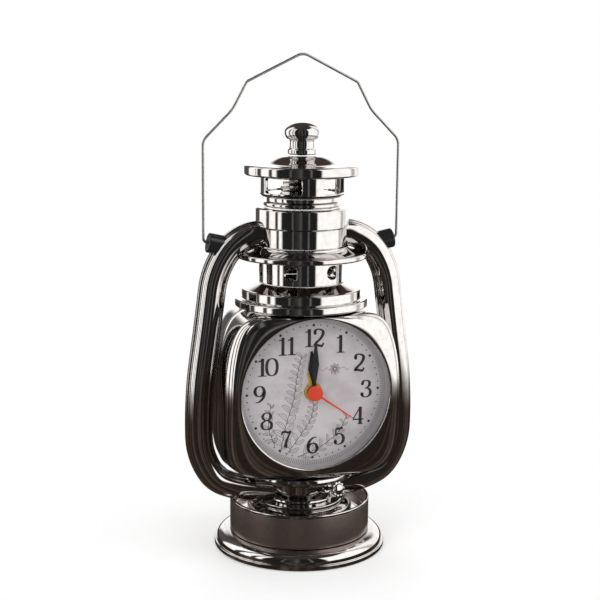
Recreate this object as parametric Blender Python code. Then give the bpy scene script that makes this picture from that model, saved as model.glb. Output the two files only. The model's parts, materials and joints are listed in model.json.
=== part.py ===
"""Lantern-shaped quartz alarm clock, built as separate solids.

Metres, +Z up, front towards -Y. The origin is the middle of the foot on the surface it
stands on. Every piece is its own object; the clock's own pieces hang on an empty whose
X is to the right on the dial, Y is up the dial and Z points out of the dial.
"""

import math

import bmesh
import bpy
from mathutils import Matrix, Vector

# Shared fits
GAP = 0.0003
OVERRUN = 0.002
MERGE_DISTANCE = 0.000001
SMOOTH_ANGLE = math.radians(35)

# Facets
ROUND_STEPS = 32
SMALL_STEPS = 20
TINY_STEPS = 10
OUTLINE_STEPS = 56

# Foot and base plate
FOOT_RADIUS = 0.0399
FOOT_LIP = 0.0020
FOOT_STEP = 0.0011
FOOT_HEIGHT = 0.0070
FOOT_WALL = 0.0040
FOOT_TOP_WALL = 0.0018
BASE_PLATE_THICKNESS = 0.0020
DOME_STEPS = 5

# Drum band and deck
DRUM_RADIUS = 0.0326
DRUM_HEIGHT = 0.0156
DRUM_WALL = 0.0015
DRUM_RIM = 0.0005
LEDGE_WIDTH = 0.0020
LEDGE_THICKNESS = 0.0018
DECK_DEPTH = 0.0058
DECK_THICKNESS = 0.0015

# Pedestal and gallery ring
PEDESTAL_FOOT_RADIUS = 0.0245
PEDESTAL_FLARE_HEIGHT = 0.0036
PEDESTAL_FLANGE_RADIUS = 0.0205
PEDESTAL_FLANGE_HEIGHT = 0.0016
PEDESTAL_RADIUS = 0.0156
PEDESTAL_WAIST = 0.0150
PEDESTAL_BORE = 0.0060
GALLERY_RADIUS = 0.0250
GALLERY_SEAT_Z = 0.0330
GALLERY_LIP = 0.0030
GALLERY_BEVEL = 0.0010
GALLERY_TOP_RADIUS = 0.0225

# Clock housing
HOUSING_HALF_WIDTH = 0.0405
HOUSING_BOTTOM_Z = 0.0375
HOUSING_TOP_Z = 0.1134
HOUSING_TOP_ROUNDNESS_SHARE = 8.0
HOUSING_BOTTOM_ROUNDNESS_SHARE = 8.0
FACE_ROUNDNESS_SHARE = 3.5
HOUSING_TAPER_SHARE = 0.18
HOUSING_WALL = 0.0019
HOUSING_TOP_WALL = 0.0009
HOUSING_FRONT_Y = -0.0286
HOUSING_BACK_Y = 0.0240
HOUSING_CORNER_DEPTH = 0.0071
HOUSING_SIDE_DRAFT = 0.0010
HOUSING_BACK_INSET = 0.0046
FACE_MARGIN = 0.0036
FACE_BOTTOM_SHARE = 0.95
FACE_GROOVE = 0.0004
FACE_GROOVE_WIDTH = 0.0006
FACE_CROWN = 0.0009
FACE_LIP = 0.0010
LIP_ROUND = 0.0005

# Dial, lens and bezel ring
DIAL_Z = 0.0776
DIAL_Y = -0.0218
DIAL_RADIUS = 0.0372
DIAL_THICKNESS = 0.0008
DIAL_HOLE = 0.0041
DIAL_FLAT = 0.0346
OPENING_RADIUS = 0.0342
LENS_RADIUS = 0.0354
LENS_THICKNESS = 0.0009
LENS_FRONT = 0.0272
BEZEL_OUTER = 0.0375
BEZEL_FRONT_OUTER = 0.0366
BEZEL_INNER = 0.0362
BEZEL_FRONT_INNER = 0.0349
BEZEL_SHOULDER = 0.0245

# Neck rings, draft neck and hood disc
RING_LOW_RADIUS = 0.0305
RING_LOW_HEIGHT = 0.0036
RING_HIGH_RADIUS = 0.0274
RING_HIGH_HEIGHT = 0.0043
RING_BEVEL = 0.0007
RING_BORE = 0.0140
NECK_RADIUS = 0.0194
NECK_CONE_HEIGHT = 0.0029
NECK_HEIGHT = 0.0107
NECK_WALL = 0.0016
NECK_HOLE_RADIUS = 0.0030
NECK_HOLE_COUNT = 6
NECK_HOLE_LIFT = 0.0056
HOOD_RADIUS = 0.0300
HOOD_RIM = 0.0026
HOOD_CONE = 0.0028
HOOD_TOP_RADIUS = 0.0212
HOOD_BORE = 0.0140

# Chimney, collar ring and vent collar
CHIMNEY_LOW_RADIUS = 0.0203
CHIMNEY_LOW_HEIGHT = 0.0083
CHIMNEY_RADIUS = 0.0213
CHIMNEY_HEIGHT = 0.0090
CHIMNEY_STEP = 0.0006
CHIMNEY_WALL = 0.0018
COLLAR_RADIUS = 0.0176
COLLAR_BEAD = 0.0024
COLLAR_NECK_RADIUS = 0.0163
COLLAR_NECK_HEIGHT = 0.0017
COLLAR_BORE = 0.0100
VENT_RADIUS = 0.01905
VENT_HEIGHT = 0.0093
VENT_WALL = 0.0015
VENT_FLOOR = 0.0015
VENT_ROUND = 0.0013
VENT_BORE = 0.0060
WINDOW_ARC = math.radians(60)
WINDOW_HEIGHT = 0.0066
WINDOW_LIFT = 0.0021
WINDOW_CORNER = 0.0012

# Cap disc and knob
CAP_RADIUS = 0.0266
CAP_RIM = 0.0047
CAP_DOME_HEIGHT = 0.0040
CAP_TOP_RADIUS = 0.0068
CAP_WALL = 0.0018
CAP_BORE = 0.0030
KNOB_COLLAR_RADIUS = 0.0066
KNOB_COLLAR_HEIGHT = 0.0032
KNOB_STEM_RADIUS = 0.0060
KNOB_STEM_HEIGHT = 0.0036
KNOB_RADIUS = 0.00825
KNOB_HEIGHT = 0.0078

# Air tubes: stepped section with a seam flange
TUBE_SWING = 0.0480
TUBE_HOUSING_CLEARANCE = 0.0013
TUBE_LOW_Z = 0.0245
TUBE_HIGH_Z = 0.1468
TUBE_FLANGE = 0.0062
TUBE_FLANGE_THICKNESS = 0.0015
TUBE_BODY = 0.0051
TUBE_DEPTH = 0.0066
TUBE_WALL = 0.0014
TUBE_ARC_STEPS = 5
TUBE_STEPS = 22
TUBE_PATH_SHARES = (
    (0.36, 1.000, 0.0),
    (0.54, 0.990, 0.55),
    (0.69, 0.952, 1.0),
    (0.79, 0.895, 1.0),
    (0.852, 0.830, 1.0),
    (0.877, 0.764, 1.0),
    (0.906, 0.675, 1.0),
    (0.937, 0.585, 1.0),
    (0.966, 0.503, 1.0),
    (0.986, 0.429, 1.0),
    (0.998, 0.339, 1.0),
    (1.000, 0.266, 1.0),
    (0.994, 0.208, 1.0),
    (0.960, 0.155, 1.0),
    (0.895, 0.102, 1.0),
    (0.805, 0.065, 0.84),
    (0.660, 0.041, 0.58),
    (0.500, 0.024, 0.30),
    (0.335, 0.012, 0.0),
)

# Ears and bail
EAR_RADIUS = 0.0045
EAR_INSET = 0.0044
EAR_LENGTH = 0.0080
EAR_TILT = math.radians(12)
EAR_ROUND = 0.0008
PIVOT_Z = 0.1434
WIRE_RADIUS = 0.0006
WIRE_STEPS = 8
WIRE_CLEARANCE = 0.0003
WIRE_END_DEPTH = 0.0037
BAIL_LEG_STANDOFF = 0.0019
BAIL_LEG_TOP_Z = 0.1887
BAIL_SHOULDER_INSET = 0.0133
BAIL_SHOULDER_Z = 0.2021
BAIL_CROWN_INSET = 0.0066
BAIL_CROWN_Z = 0.2144
BAIL_APEX_Z = 0.2272
BEND_RADIUS = 0.0020
SOFT_BEND_RADIUS = 0.0060
BEND_STEPS = 3

# Wick boss and wheel
WICK_AZIMUTH = math.radians(25)
WICK_TILT = math.radians(12)
WICK_BOSS_RADIUS = 0.0022
WICK_BOSS_START = 0.0140
WICK_BOSS_LENGTH = 0.0062
WICK_SPINDLE_RADIUS = 0.0009
WICK_SPINDLE_CLEARANCE = 0.0003
WICK_SPINDLE_START = 0.0165
WICK_WHEEL_REACH = 0.0276
WICK_WHEEL_RADIUS = 0.0036
WICK_WHEEL_NOTCH = 0.0005
WICK_WHEEL_LOBES = 10
WICK_WHEEL_THICKNESS = 0.0014
WICK_HUB_RADIUS = 0.0018
WICK_HUB_HEIGHT = 0.0012
WICK_Z = 0.0321

# Movement casing
MOVEMENT_HALF = 0.0280
MOVEMENT_CORNER = 0.0040
CASE_INNER_CORNER = 0.0015
CASE_WALL = 0.0016
TRAY_PLATE = 0.0020
TRAY_DEPTH = 0.0150
BOSS_RADIUS = 0.0038
BOSS_BORE = 0.0031
BOSS_HEIGHT = 0.0013
PLATE_THICKNESS = 0.0012
CASE_BACK = 0.0220
CASE_BACK_WALL = 0.0020
HOUSING_OPENING_CLEARANCE = 0.0008
CLOCK_SIDE_ROOM = 0.0125
CLOCK_LOWER_ROOM = 0.0121
CLOCK_UPPER_ROOM = 0.0078
FULL_SHARE = 1.0
CORNER_STEPS = 3

# Battery bay
CELL_RADIUS = 0.00725
CELL_LENGTH = 0.0505
CELL_BUTTON_RADIUS = 0.0026
CELL_BUTTON_LENGTH = 0.0010
SHELF_THICKNESS = 0.0010
SHELF_DEPTH = 0.0150
CONTACT_THICKNESS = 0.0004
CONTACT_HEIGHT = 0.0090
CONTACT_DEPTH = 0.0080
COVER_HALF_WIDTH = 0.0252
COVER_HEIGHT = 0.0126
COVER_THICKNESS = 0.0016
COVER_GRIP = 0.0006
COVER_GRIP_LENGTH = 0.0120
COVER_GRIP_HEIGHT = 0.0012

# Arbors, pipes and their clearance
ARBOR_RADIUS = 0.0005
ARBOR_END = 0.0184
SET_SHAFT_RADIUS = 0.0007
MINUTE_BORE = 0.0008
MINUTE_PIPE = 0.00125
HOUR_BORE = 0.00155
HOUR_PIPE = 0.0020
ALARM_BORE = 0.0023
ALARM_PIPE = 0.0028

# Levels of the train above the dial frame, each wheel's rear face
WHEEL_THICKNESS = 0.0010
THIN_WHEEL = 0.0008
CANNON_THICKNESS = 0.0012
ALARM_LEVEL = 0.0173
HOUR_LEVEL = 0.0158
MOTION_LEVEL = 0.0141
CENTRE_LEVEL = 0.0126
THIRD_LEVEL = 0.0112
SECOND_LEVEL = 0.0092
ROTOR_LEVEL = 0.0076
MAGNET_LEVEL = 0.0105
MAGNET_RADIUS = 0.0030
MAGNET_THICKNESS = 0.0020
CENTRE_HUB = 0.0016

# Teeth
ADDENDUM_SHARE = 0.35
DEDENDUM_SHARE = 0.75
SECOND_PINION_TEETH = 6
THIRD_WHEEL_TEETH = 45
THIRD_PINION_TEETH = 6
CENTRE_WHEEL_TEETH = 48
INTERMEDIATE_PINION_TEETH = 6
SECOND_WHEEL_TEETH = 36
ROTOR_PINION_TEETH = 6
INTERMEDIATE_WHEEL_TEETH = 30
CANNON_TEETH = 8
MOTION_WHEEL_TEETH = 24
MOTION_PINION_TEETH = 8
HOUR_WHEEL_TEETH = 32
SET_PINION_TEETH = 12
ALARM_WHEEL_TEETH = 24
ALARM_PINION_TEETH = 18

# Distances between arbors and the directions they lie in
THIRD_DISTANCE = 0.0102
THIRD_DIRECTION = math.radians(210)
MOTION_DISTANCE = 0.0072
MOTION_DIRECTION = math.radians(60)
INTERMEDIATE_DISTANCE = 0.0084
INTERMEDIATE_DIRECTION = math.radians(-60)
ROTOR_DISTANCE = 0.0072
ROTOR_DIRECTION = math.radians(-20)
ALARM_DISTANCE = 0.0105
ALARM_DIRECTION = math.radians(135)

# Coil, stator, circuit board, buzzer
STATOR_HALF_WIDTH = 0.0046
STATOR_TOP = 0.0046
STATOR_THICKNESS = 0.0010
STATOR_HOLE = 0.0035
STATOR_LOW = -0.0258
COIL_RADIUS = 0.0022
COIL_FLANGE = 0.0025
COIL_FLANGE_THICKNESS = 0.0010
COIL_LENGTH = 0.0210
COIL_CENTRE_X = 0.0040
COIL_Y = -0.0227
BOARD_LEFT = -0.0259
BOARD_RIGHT = -0.0096
BOARD_LOW = -0.0259
BOARD_HIGH = -0.0140
BOARD_THICKNESS = 0.0010
BOARD_CORNER = 0.0020
BOARD_LEVEL = 0.0082
BUZZER_RADIUS = 0.0080
BUZZER_THICKNESS = 0.0010
BUZZER_X = -0.0158
BUZZER_Y = 0.0158

# Hands
HAND_THICKNESS = 0.0004
ALARM_HAND_LEVEL = 0.0222
HOUR_HAND_LEVEL = 0.0231
MINUTE_HAND_LEVEL = 0.0240
SECOND_HAND_LEVEL = 0.0249
ALARM_HAND_LENGTH = 0.0090
HOUR_HAND_LENGTH = 0.0190
MINUTE_HAND_LENGTH = 0.0236
SECOND_HAND_LENGTH = 0.0217
ALARM_HAND_WIDTH = 0.0016
HOUR_HAND_WIDTH = 0.0044
MINUTE_HAND_WIDTH = 0.0036
SECOND_HAND_WIDTH = 0.0010
HUB_RIM = 0.0008
CAP_HUB_RADIUS = 0.0035
CAP_HUB_HEIGHT = 0.0011
CAP_HUB_ROUND = 0.0003
HAND_TAPER_SHARES = ((0.00, 0.34), (0.30, 0.34), (0.52, 1.00), (0.74, 0.62), (0.80, 0.30), (1.00, 0.22))
HAND_ANGLES = {
    "alarm": math.radians(-17),
    "hour": math.radians(-4),
    "minute": math.radians(1),
    "second": math.radians(124.7),
}

# Knobs on the back and the alarm switch
KNOB_DISC_RADIUS = 0.0046
KNOB_DISC_THICKNESS = 0.0034
KNOB_DISC_NOTCH = 0.0003
KNOB_DISC_LOBES = 12
SWITCH_X = 0.0160
SWITCH_Y = 0.0205
SWITCH_TRAVEL = 0.0040
SWITCH_LENGTH = 0.0050
SWITCH_HEIGHT = 0.0040
SWITCH_RISE = 0.0018
SHANK_LENGTH = 0.0024
SHANK_HEIGHT = 0.0012
SWITCH_FOOT_LENGTH = 0.0060
SWITCH_FOOT_THICKNESS = 0.0008

# Heights that follow from the stack
DRUM_Z = FOOT_HEIGHT + GAP
DRUM_TOP_Z = DRUM_Z + DRUM_HEIGHT
DECK_TOP_Z = DRUM_TOP_Z - DECK_DEPTH
DECK_Z = DECK_TOP_Z - DECK_THICKNESS
PEDESTAL_Z = DECK_TOP_Z + GAP
PEDESTAL_TOP_Z = GALLERY_SEAT_Z - GAP
GALLERY_TOP_Z = HOUSING_BOTTOM_Z - GAP
RING_Z = HOUSING_TOP_Z + GAP
RING_MID_Z = RING_Z + RING_LOW_HEIGHT
RING_TOP_Z = RING_MID_Z + RING_HIGH_HEIGHT
NECK_Z = RING_TOP_Z + NECK_CONE_HEIGHT + GAP
NECK_TOP_Z = NECK_Z + NECK_HEIGHT
HOOD_Z = NECK_TOP_Z + GAP
HOOD_RIM_Z = HOOD_Z + HOOD_RIM
HOOD_TOP_Z = HOOD_RIM_Z + HOOD_CONE
CHIMNEY_Z = HOOD_TOP_Z + GAP
CHIMNEY_MID_Z = CHIMNEY_Z + CHIMNEY_LOW_HEIGHT
CHIMNEY_TOP_Z = CHIMNEY_MID_Z + CHIMNEY_HEIGHT
COLLAR_Z = CHIMNEY_TOP_Z + GAP
COLLAR_TOP_Z = COLLAR_Z + COLLAR_BEAD + COLLAR_NECK_HEIGHT
VENT_Z = COLLAR_TOP_Z + GAP
VENT_TOP_Z = VENT_Z + VENT_HEIGHT
CAP_Z = VENT_TOP_Z + GAP
CAP_RIM_Z = CAP_Z + CAP_RIM
CAP_TOP_Z = CAP_RIM_Z + CAP_DOME_HEIGHT
KNOB_Z = CAP_TOP_Z + GAP

# Places beside the housing that follow from its width
TUBE_REACH = HOUSING_HALF_WIDTH + TUBE_HOUSING_CLEARANCE + TUBE_FLANGE
EAR_END_X = TUBE_REACH - EAR_INSET
WIRE_INNER_X = EAR_END_X - WIRE_END_DEPTH
BAIL_LEG_X = EAR_END_X + BAIL_LEG_STANDOFF
BAIL_SHOULDER_X = BAIL_LEG_X - BAIL_SHOULDER_INSET
BAIL_CROWN_X = BAIL_SHOULDER_X - BAIL_CROWN_INSET

# Share by which the clock shrinks in its plane when the housing gets too small round it
CLOCK_FIT = min(
    HOUSING_HALF_WIDTH / (MOVEMENT_HALF + CLOCK_SIDE_ROOM),
    (DIAL_Z - HOUSING_BOTTOM_Z) / (MOVEMENT_HALF + CLOCK_LOWER_ROOM),
    (HOUSING_TOP_Z - DIAL_Z) / (MOVEMENT_HALF + CLOCK_UPPER_ROOM),
    FULL_SHARE,
)

# Levels of the clock's casing, measured out of the dial frame
DIAL_FRONT = -DIAL_Y
DIAL_BACK = DIAL_FRONT - DIAL_THICKNESS
TRAY_FRONT = DIAL_BACK - GAP
TRAY_BACK = TRAY_FRONT - TRAY_DEPTH
PLATE_FRONT = TRAY_BACK - GAP
PLATE_BACK = PLATE_FRONT - PLATE_THICKNESS
CASE_FRONT = PLATE_BACK - GAP
CASE_INNER_BACK = CASE_BACK_WALL - CASE_BACK
CASE_INNER_HALF = MOVEMENT_HALF - CASE_WALL
ARBOR_REAR = PLATE_FRONT + GAP
CELL_Y = CELL_RADIUS + GAP - CASE_INNER_HALF
CELL_LEVEL = CASE_INNER_BACK + GAP + CELL_RADIUS
SHELF_Y = CELL_Y + CELL_RADIUS + GAP
COVER_Y = CELL_Y - COVER_HEIGHT / 2


def clear_scene():
    """Remove every object of the open scene."""
    for old in list(bpy.data.objects):
        bpy.data.objects.remove(old, do_unlink=True)


def make_material(name, colour, roughness, metallic, alpha=1.0):
    """Return a Principled material."""
    material = bpy.data.materials.new(name)
    material.use_nodes = True
    shader = material.node_tree.nodes["Principled BSDF"]
    shader.inputs["Base Color"].default_value = (*colour, 1.0)
    shader.inputs["Roughness"].default_value = roughness
    shader.inputs["Metallic"].default_value = metallic
    shader.inputs["Alpha"].default_value = alpha
    return material


def add_piece(name, bm, material=None, frame=None):
    """Turn a bmesh into an object, shaded smooth with sharp edges kept."""
    bmesh.ops.recalc_face_normals(bm, faces=bm.faces)
    mesh = bpy.data.meshes.new(name)
    bm.to_mesh(mesh)
    bm.free()
    piece = bpy.data.objects.new(name, mesh)
    bpy.context.collection.objects.link(piece)
    if material:
        mesh.materials.append(material)
    if frame:
        piece.parent = frame
    return piece


def finish(piece):
    """Shade a finished piece."""
    piece.data.shade_smooth()
    piece.data.set_sharp_from_angle(angle=SMOOTH_ANGLE)
    return piece


def combine(piece, tools, operation):
    """Join or cut a piece with tool objects, which are used up."""
    for tool in tools:
        tool.hide_render = True
        tool.display_type = "WIRE"
        modifier = piece.modifiers.new(tool.name, "BOOLEAN")
        modifier.operation = operation
        modifier.solver = "EXACT"
        modifier.object = tool
    bpy.context.view_layer.update()
    graph = bpy.context.evaluated_depsgraph_get()
    result = bpy.data.meshes.new_from_object(piece.evaluated_get(graph))
    piece.modifiers.clear()
    old = piece.data
    piece.data = result
    bpy.data.meshes.remove(old)
    for tool in tools:
        bpy.data.objects.remove(tool, do_unlink=True)
    return piece


def cut(piece, *tools):
    """Subtract tools from a piece."""
    return combine(piece, tools, "DIFFERENCE")


def join(piece, *tools):
    """Unite tools with a piece."""
    return combine(piece, tools, "UNION")


def revolve(profile, steps=ROUND_STEPS):
    """Spin a profile of (radius, height) points round Z into a closed body."""
    bm = bmesh.new()
    verts = [bm.verts.new((radius, 0, height)) for radius, height in profile]
    solid = profile[0][0] == 0 and profile[-1][0] == 0
    pairs = list(zip(verts, verts[1:]))
    if not solid:
        pairs.append((verts[-1], verts[0]))
    edges = [bm.edges.new(pair) for pair in pairs]
    bmesh.ops.spin(bm, geom=verts + edges, axis=(0, 0, 1), cent=(0, 0, 0),
                   angle=math.tau, steps=steps, use_merge=True)
    bmesh.ops.remove_doubles(bm, verts=bm.verts, dist=MERGE_DISTANCE)
    return bm


def cylinder(radius, low, high, steps=SMALL_STEPS):
    """Return a solid cylinder round Z between two heights."""
    return revolve(((0, low), (radius, low), (radius, high), (0, high)), steps)


def prism(loops, low, high):
    """Fill flat loops (the first is the outline, others are holes) and extrude them."""
    bm = bmesh.new()
    edges = []
    for loop in loops:
        verts = [bm.verts.new((x, y, low)) for x, y in loop]
        edges += [bm.edges.new((a, b)) for a, b in zip(verts, verts[1:] + verts[:1])]
    bmesh.ops.triangle_fill(bm, use_beauty=True, use_dissolve=False, edges=edges)
    grown = bmesh.ops.extrude_face_region(bm, geom=bm.faces[:])
    moved = [item for item in grown["geom"] if isinstance(item, bmesh.types.BMVert)]
    bmesh.ops.translate(bm, verts=moved, vec=(0, 0, high - low))
    return bm


def loft(loops, close_ends):
    """Bridge equal loops of points in turn; cap the ends or join last to first."""
    bm = bmesh.new()
    rings = [[bm.verts.new(point) for point in loop] for loop in loops]
    pairs = list(zip(rings, rings[1:]))
    if not close_ends:
        pairs.append((rings[-1], rings[0]))
    for low, high in pairs:
        for i in range(len(low)):
            j = (i + 1) % len(low)
            bm.faces.new((low[i], low[j], high[j], high[i]))
    if close_ends:
        bm.faces.new(rings[0])
        bm.faces.new(rings[-1])
    return bm


def circle(radius, steps=SMALL_STEPS, centre=(0, 0)):
    """Return the points of a circle."""
    turns = [math.tau * i / steps for i in range(steps)]
    return [(centre[0] + radius * math.cos(t), centre[1] + radius * math.sin(t)) for t in turns]


def rounded_box(left, right, low, high, corner, steps=CORNER_STEPS):
    """Return a rectangle's outline with round corners."""
    centres = (
        (right - corner, high - corner, 0),
        (left + corner, high - corner, 1),
        (left + corner, low + corner, 2),
        (right - corner, low + corner, 3),
    )
    points = []
    for x, y, quarter in centres:
        for i in range(steps + 1):
            turn = (quarter + i / steps) * math.pi / 2
            points.append((x + corner * math.cos(turn), y + corner * math.sin(turn)))
    return points


def rectangle(left, right, low, high):
    """Return a plain rectangle's outline."""
    return [(left, low), (right, low), (right, high), (left, high)]


def quarter_curve(start, end, steps, bulge_first):
    """Return points on a quarter ellipse between two (radius, height) points."""
    points = []
    for i in range(steps + 1):
        turn = math.pi / 2 * i / steps
        along, across = math.sin(turn), 1 - math.cos(turn)
        if not bulge_first:
            along, across = across, along
        points.append((start[0] + (end[0] - start[0]) * along,
                       start[1] + (end[1] - start[1]) * across))
    return points


def round_polyline(points, radii, steps=BEND_STEPS):
    """Replace inner corners of a polyline by arcs of the given radii."""
    result = [Vector(points[0])]
    for before, corner, after, radius in zip(points, points[1:], points[2:], radii):
        corner = Vector(corner)
        back = (Vector(before) - corner).normalized()
        ahead = (Vector(after) - corner).normalized()
        half = back.angle(ahead) / 2
        reach = radius / math.tan(half)
        centre = corner + (back + ahead).normalized() * (radius / math.sin(half))
        start = corner + back * reach - centre
        end = corner + ahead * reach - centre
        for i in range(steps + 1):
            result.append(centre + start.slerp(end, i / steps) * radius)
    result.append(Vector(points[-1]))
    return result


def spline(points, steps):
    """Return points on a smooth curve through the given ones, evenly dealt."""
    ends = [points[0] * 2 - points[1]] + points + [points[-1] * 2 - points[-2]]
    count = len(points) - 1
    result = []
    for i in range(steps + 1):
        place = count * i / steps
        k = min(int(place), count - 1)
        t = place - k
        a, b, c, d = ends[k:k + 4]
        result.append((b * 2 + (c - a) * t + (a * 2 - b * 5 + c * 4 - d) * t * t
                       + (b * 3 - a - c * 3 + d) * t * t * t) / 2)
    return result


def sweep(path, section, across=Vector((0, 1, 0))):
    """Carry a flat section along a path that lies in one plane square to across."""
    loops = []
    for i, point in enumerate(path):
        ahead = path[min(i + 1, len(path) - 1)] - path[max(i - 1, 0)]
        side = ahead.cross(across).normalized()
        loops.append([point + side * u + across * v for u, v in section])
    return loft(loops, close_ends=True)


def foot_ring(material):
    """Flared round foot, hollow below, with an upright lip and a step line."""
    inner = DRUM_RADIUS + GAP
    shoulder = (FOOT_RADIUS - FOOT_STEP, FOOT_LIP + FOOT_STEP)
    slope = quarter_curve((inner, FOOT_HEIGHT), shoulder, DOME_STEPS, bulge_first=True)
    profile = [(inner - FOOT_WALL, FOOT_HEIGHT)] + slope + [
        (FOOT_RADIUS, FOOT_LIP),
        (FOOT_RADIUS, 0),
        (FOOT_RADIUS - FOOT_WALL, 0),
        (FOOT_RADIUS - FOOT_WALL, FOOT_LIP + FOOT_STEP / 2),
        (inner - FOOT_WALL, FOOT_HEIGHT - FOOT_TOP_WALL),
    ]
    return finish(add_piece("foot_ring", revolve(profile), material))


def base_plate(material):
    """Flat plate that closes the foot from below."""
    radius = FOOT_RADIUS - FOOT_WALL - GAP
    return finish(add_piece("base_plate", cylinder(radius, 0, BASE_PLATE_THICKNESS, ROUND_STEPS),
                            material))


def drum_band(material):
    """Band with a rounded top rim and a ledge inside for the deck."""
    inner = DRUM_RADIUS - DRUM_WALL
    ledge = inner - LEDGE_WIDTH
    ledge_top = DECK_Z - GAP
    profile = [
        (DRUM_RADIUS, DRUM_TOP_Z - DRUM_RIM),
        (DRUM_RADIUS, DRUM_Z),
        (inner, DRUM_Z),
        (inner, ledge_top - LEDGE_THICKNESS),
        (ledge, ledge_top - LEDGE_THICKNESS),
        (ledge, ledge_top),
        (inner, ledge_top),
        (inner, DRUM_TOP_Z - DRUM_RIM),
        (inner + DRUM_RIM, DRUM_TOP_Z),
        (DRUM_RADIUS - DRUM_RIM, DRUM_TOP_Z),
    ]
    return finish(add_piece("drum_band", revolve(profile), material))


def base_deck(material):
    """Round deck inside the drum rim."""
    radius = DRUM_RADIUS - DRUM_WALL - GAP
    profile = ((PEDESTAL_BORE, DECK_TOP_Z), (radius, DECK_TOP_Z), (radius, DECK_Z),
               (PEDESTAL_BORE, DECK_Z))
    return finish(add_piece("base_deck", revolve(profile), material))


def pedestal_profile(grow):
    """Outer profile of the pedestal from deck to top, grown by a clearance."""
    flange_z = PEDESTAL_Z + PEDESTAL_FLARE_HEIGHT
    return [
        (PEDESTAL_FOOT_RADIUS + grow, PEDESTAL_Z),
        (PEDESTAL_FLANGE_RADIUS + grow, flange_z - GAP),
        (PEDESTAL_FLANGE_RADIUS + grow, flange_z + PEDESTAL_FLANGE_HEIGHT),
        (PEDESTAL_RADIUS + grow, flange_z + PEDESTAL_FLANGE_HEIGHT + GAP),
        (PEDESTAL_WAIST + grow, PEDESTAL_TOP_Z),
    ]


def pedestal(material, wick_cut):
    """Turned neck with a flange and a hole for the wick boss."""
    profile = pedestal_profile(0) + [(PEDESTAL_BORE, PEDESTAL_TOP_Z), (PEDESTAL_BORE, PEDESTAL_Z)]
    piece = add_piece("pedestal", revolve(profile), material)
    return finish(cut(piece, wick_cut))


def gallery_profile(grow):
    """Outer profile of the gallery ring, grown by a clearance."""
    edge = GALLERY_RADIUS + grow
    return [
        (PEDESTAL_WAIST + grow, GALLERY_SEAT_Z - grow),
        (edge - GALLERY_LIP, GALLERY_SEAT_Z - grow),
        (edge - GALLERY_BEVEL / 2, GALLERY_SEAT_Z + GALLERY_BEVEL),
        (edge, GALLERY_SEAT_Z + GALLERY_BEVEL * 2),
        (edge - GALLERY_BEVEL / 2, GALLERY_TOP_Z - GALLERY_BEVEL / 2),
        (GALLERY_TOP_RADIUS + grow, GALLERY_TOP_Z + grow),
    ]


def gallery_ring(material):
    """Rolled round lip under the clock housing."""
    profile = gallery_profile(0) + [(PEDESTAL_BORE, GALLERY_TOP_Z), (PEDESTAL_BORE, GALLERY_SEAT_Z)]
    return finish(add_piece("gallery_ring", revolve(profile), material))


def housing_point(turn, y, side_inset, top_inset, bottom_inset, depth_share):
    """Point of the housing's outline at a turn; its lower corners get squarer with the depth."""
    across, up = math.cos(turn), math.sin(turn)
    if up >= 0:
        height = HOUSING_TOP_Z - top_inset - DIAL_Z
        roundness = HOUSING_TOP_ROUNDNESS_SHARE
    else:
        height = DIAL_Z - HOUSING_BOTTOM_Z - bottom_inset
        roundness = (FACE_ROUNDNESS_SHARE
                     + (HOUSING_BOTTOM_ROUNDNESS_SHARE - FACE_ROUNDNESS_SHARE) * depth_share)
    width = HOUSING_HALF_WIDTH - side_inset
    reach = (abs(across / width) ** roundness + abs(up / height) ** roundness) ** (-1 / roundness)
    rise = reach * up / height
    squeeze = 1 - HOUSING_TAPER_SHARE * rise * rise if up > 0 else 1
    return Vector((reach * across * squeeze, y, DIAL_Z + reach * up))


def housing_loop(y, side_inset, top_inset, bottom_inset):
    """Loop of the housing's outline at one depth; the lower corners are full at the seam."""
    depth_share = min((y - HOUSING_FRONT_Y) / -HOUSING_FRONT_Y, FULL_SHARE)
    turns = [math.tau * i / OUTLINE_STEPS for i in range(OUTLINE_STEPS)]
    return [housing_point(turn, y, side_inset, top_inset, bottom_inset, depth_share)
            for turn in turns]


def opening_loop(radius, y):
    """Round loop about the dial centre, dealt like the outline's points."""
    turns = [math.atan2(point.z - DIAL_Z, point.x) for point in housing_loop(y, 0, 0, 0)]
    reach = radius * CLOCK_FIT
    return [Vector((reach * math.cos(t), y, DIAL_Z + reach * math.sin(t))) for t in turns]


def case_loop(half, y):
    """Rounded-square loop round the movement, dealt like the outline's points."""
    points = []
    for point in housing_loop(y, 0, 0, 0):
        flat = Vector((point.x, point.z - DIAL_Z)).normalized()
        reach = half / max(abs(flat.x), abs(flat.y))
        reach = min(reach, (half - MOVEMENT_CORNER) * math.sqrt(2) + MOVEMENT_CORNER) * CLOCK_FIT
        points.append(Vector((flat.x * reach, y, DIAL_Z + flat.y * reach)))
    return points


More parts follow.
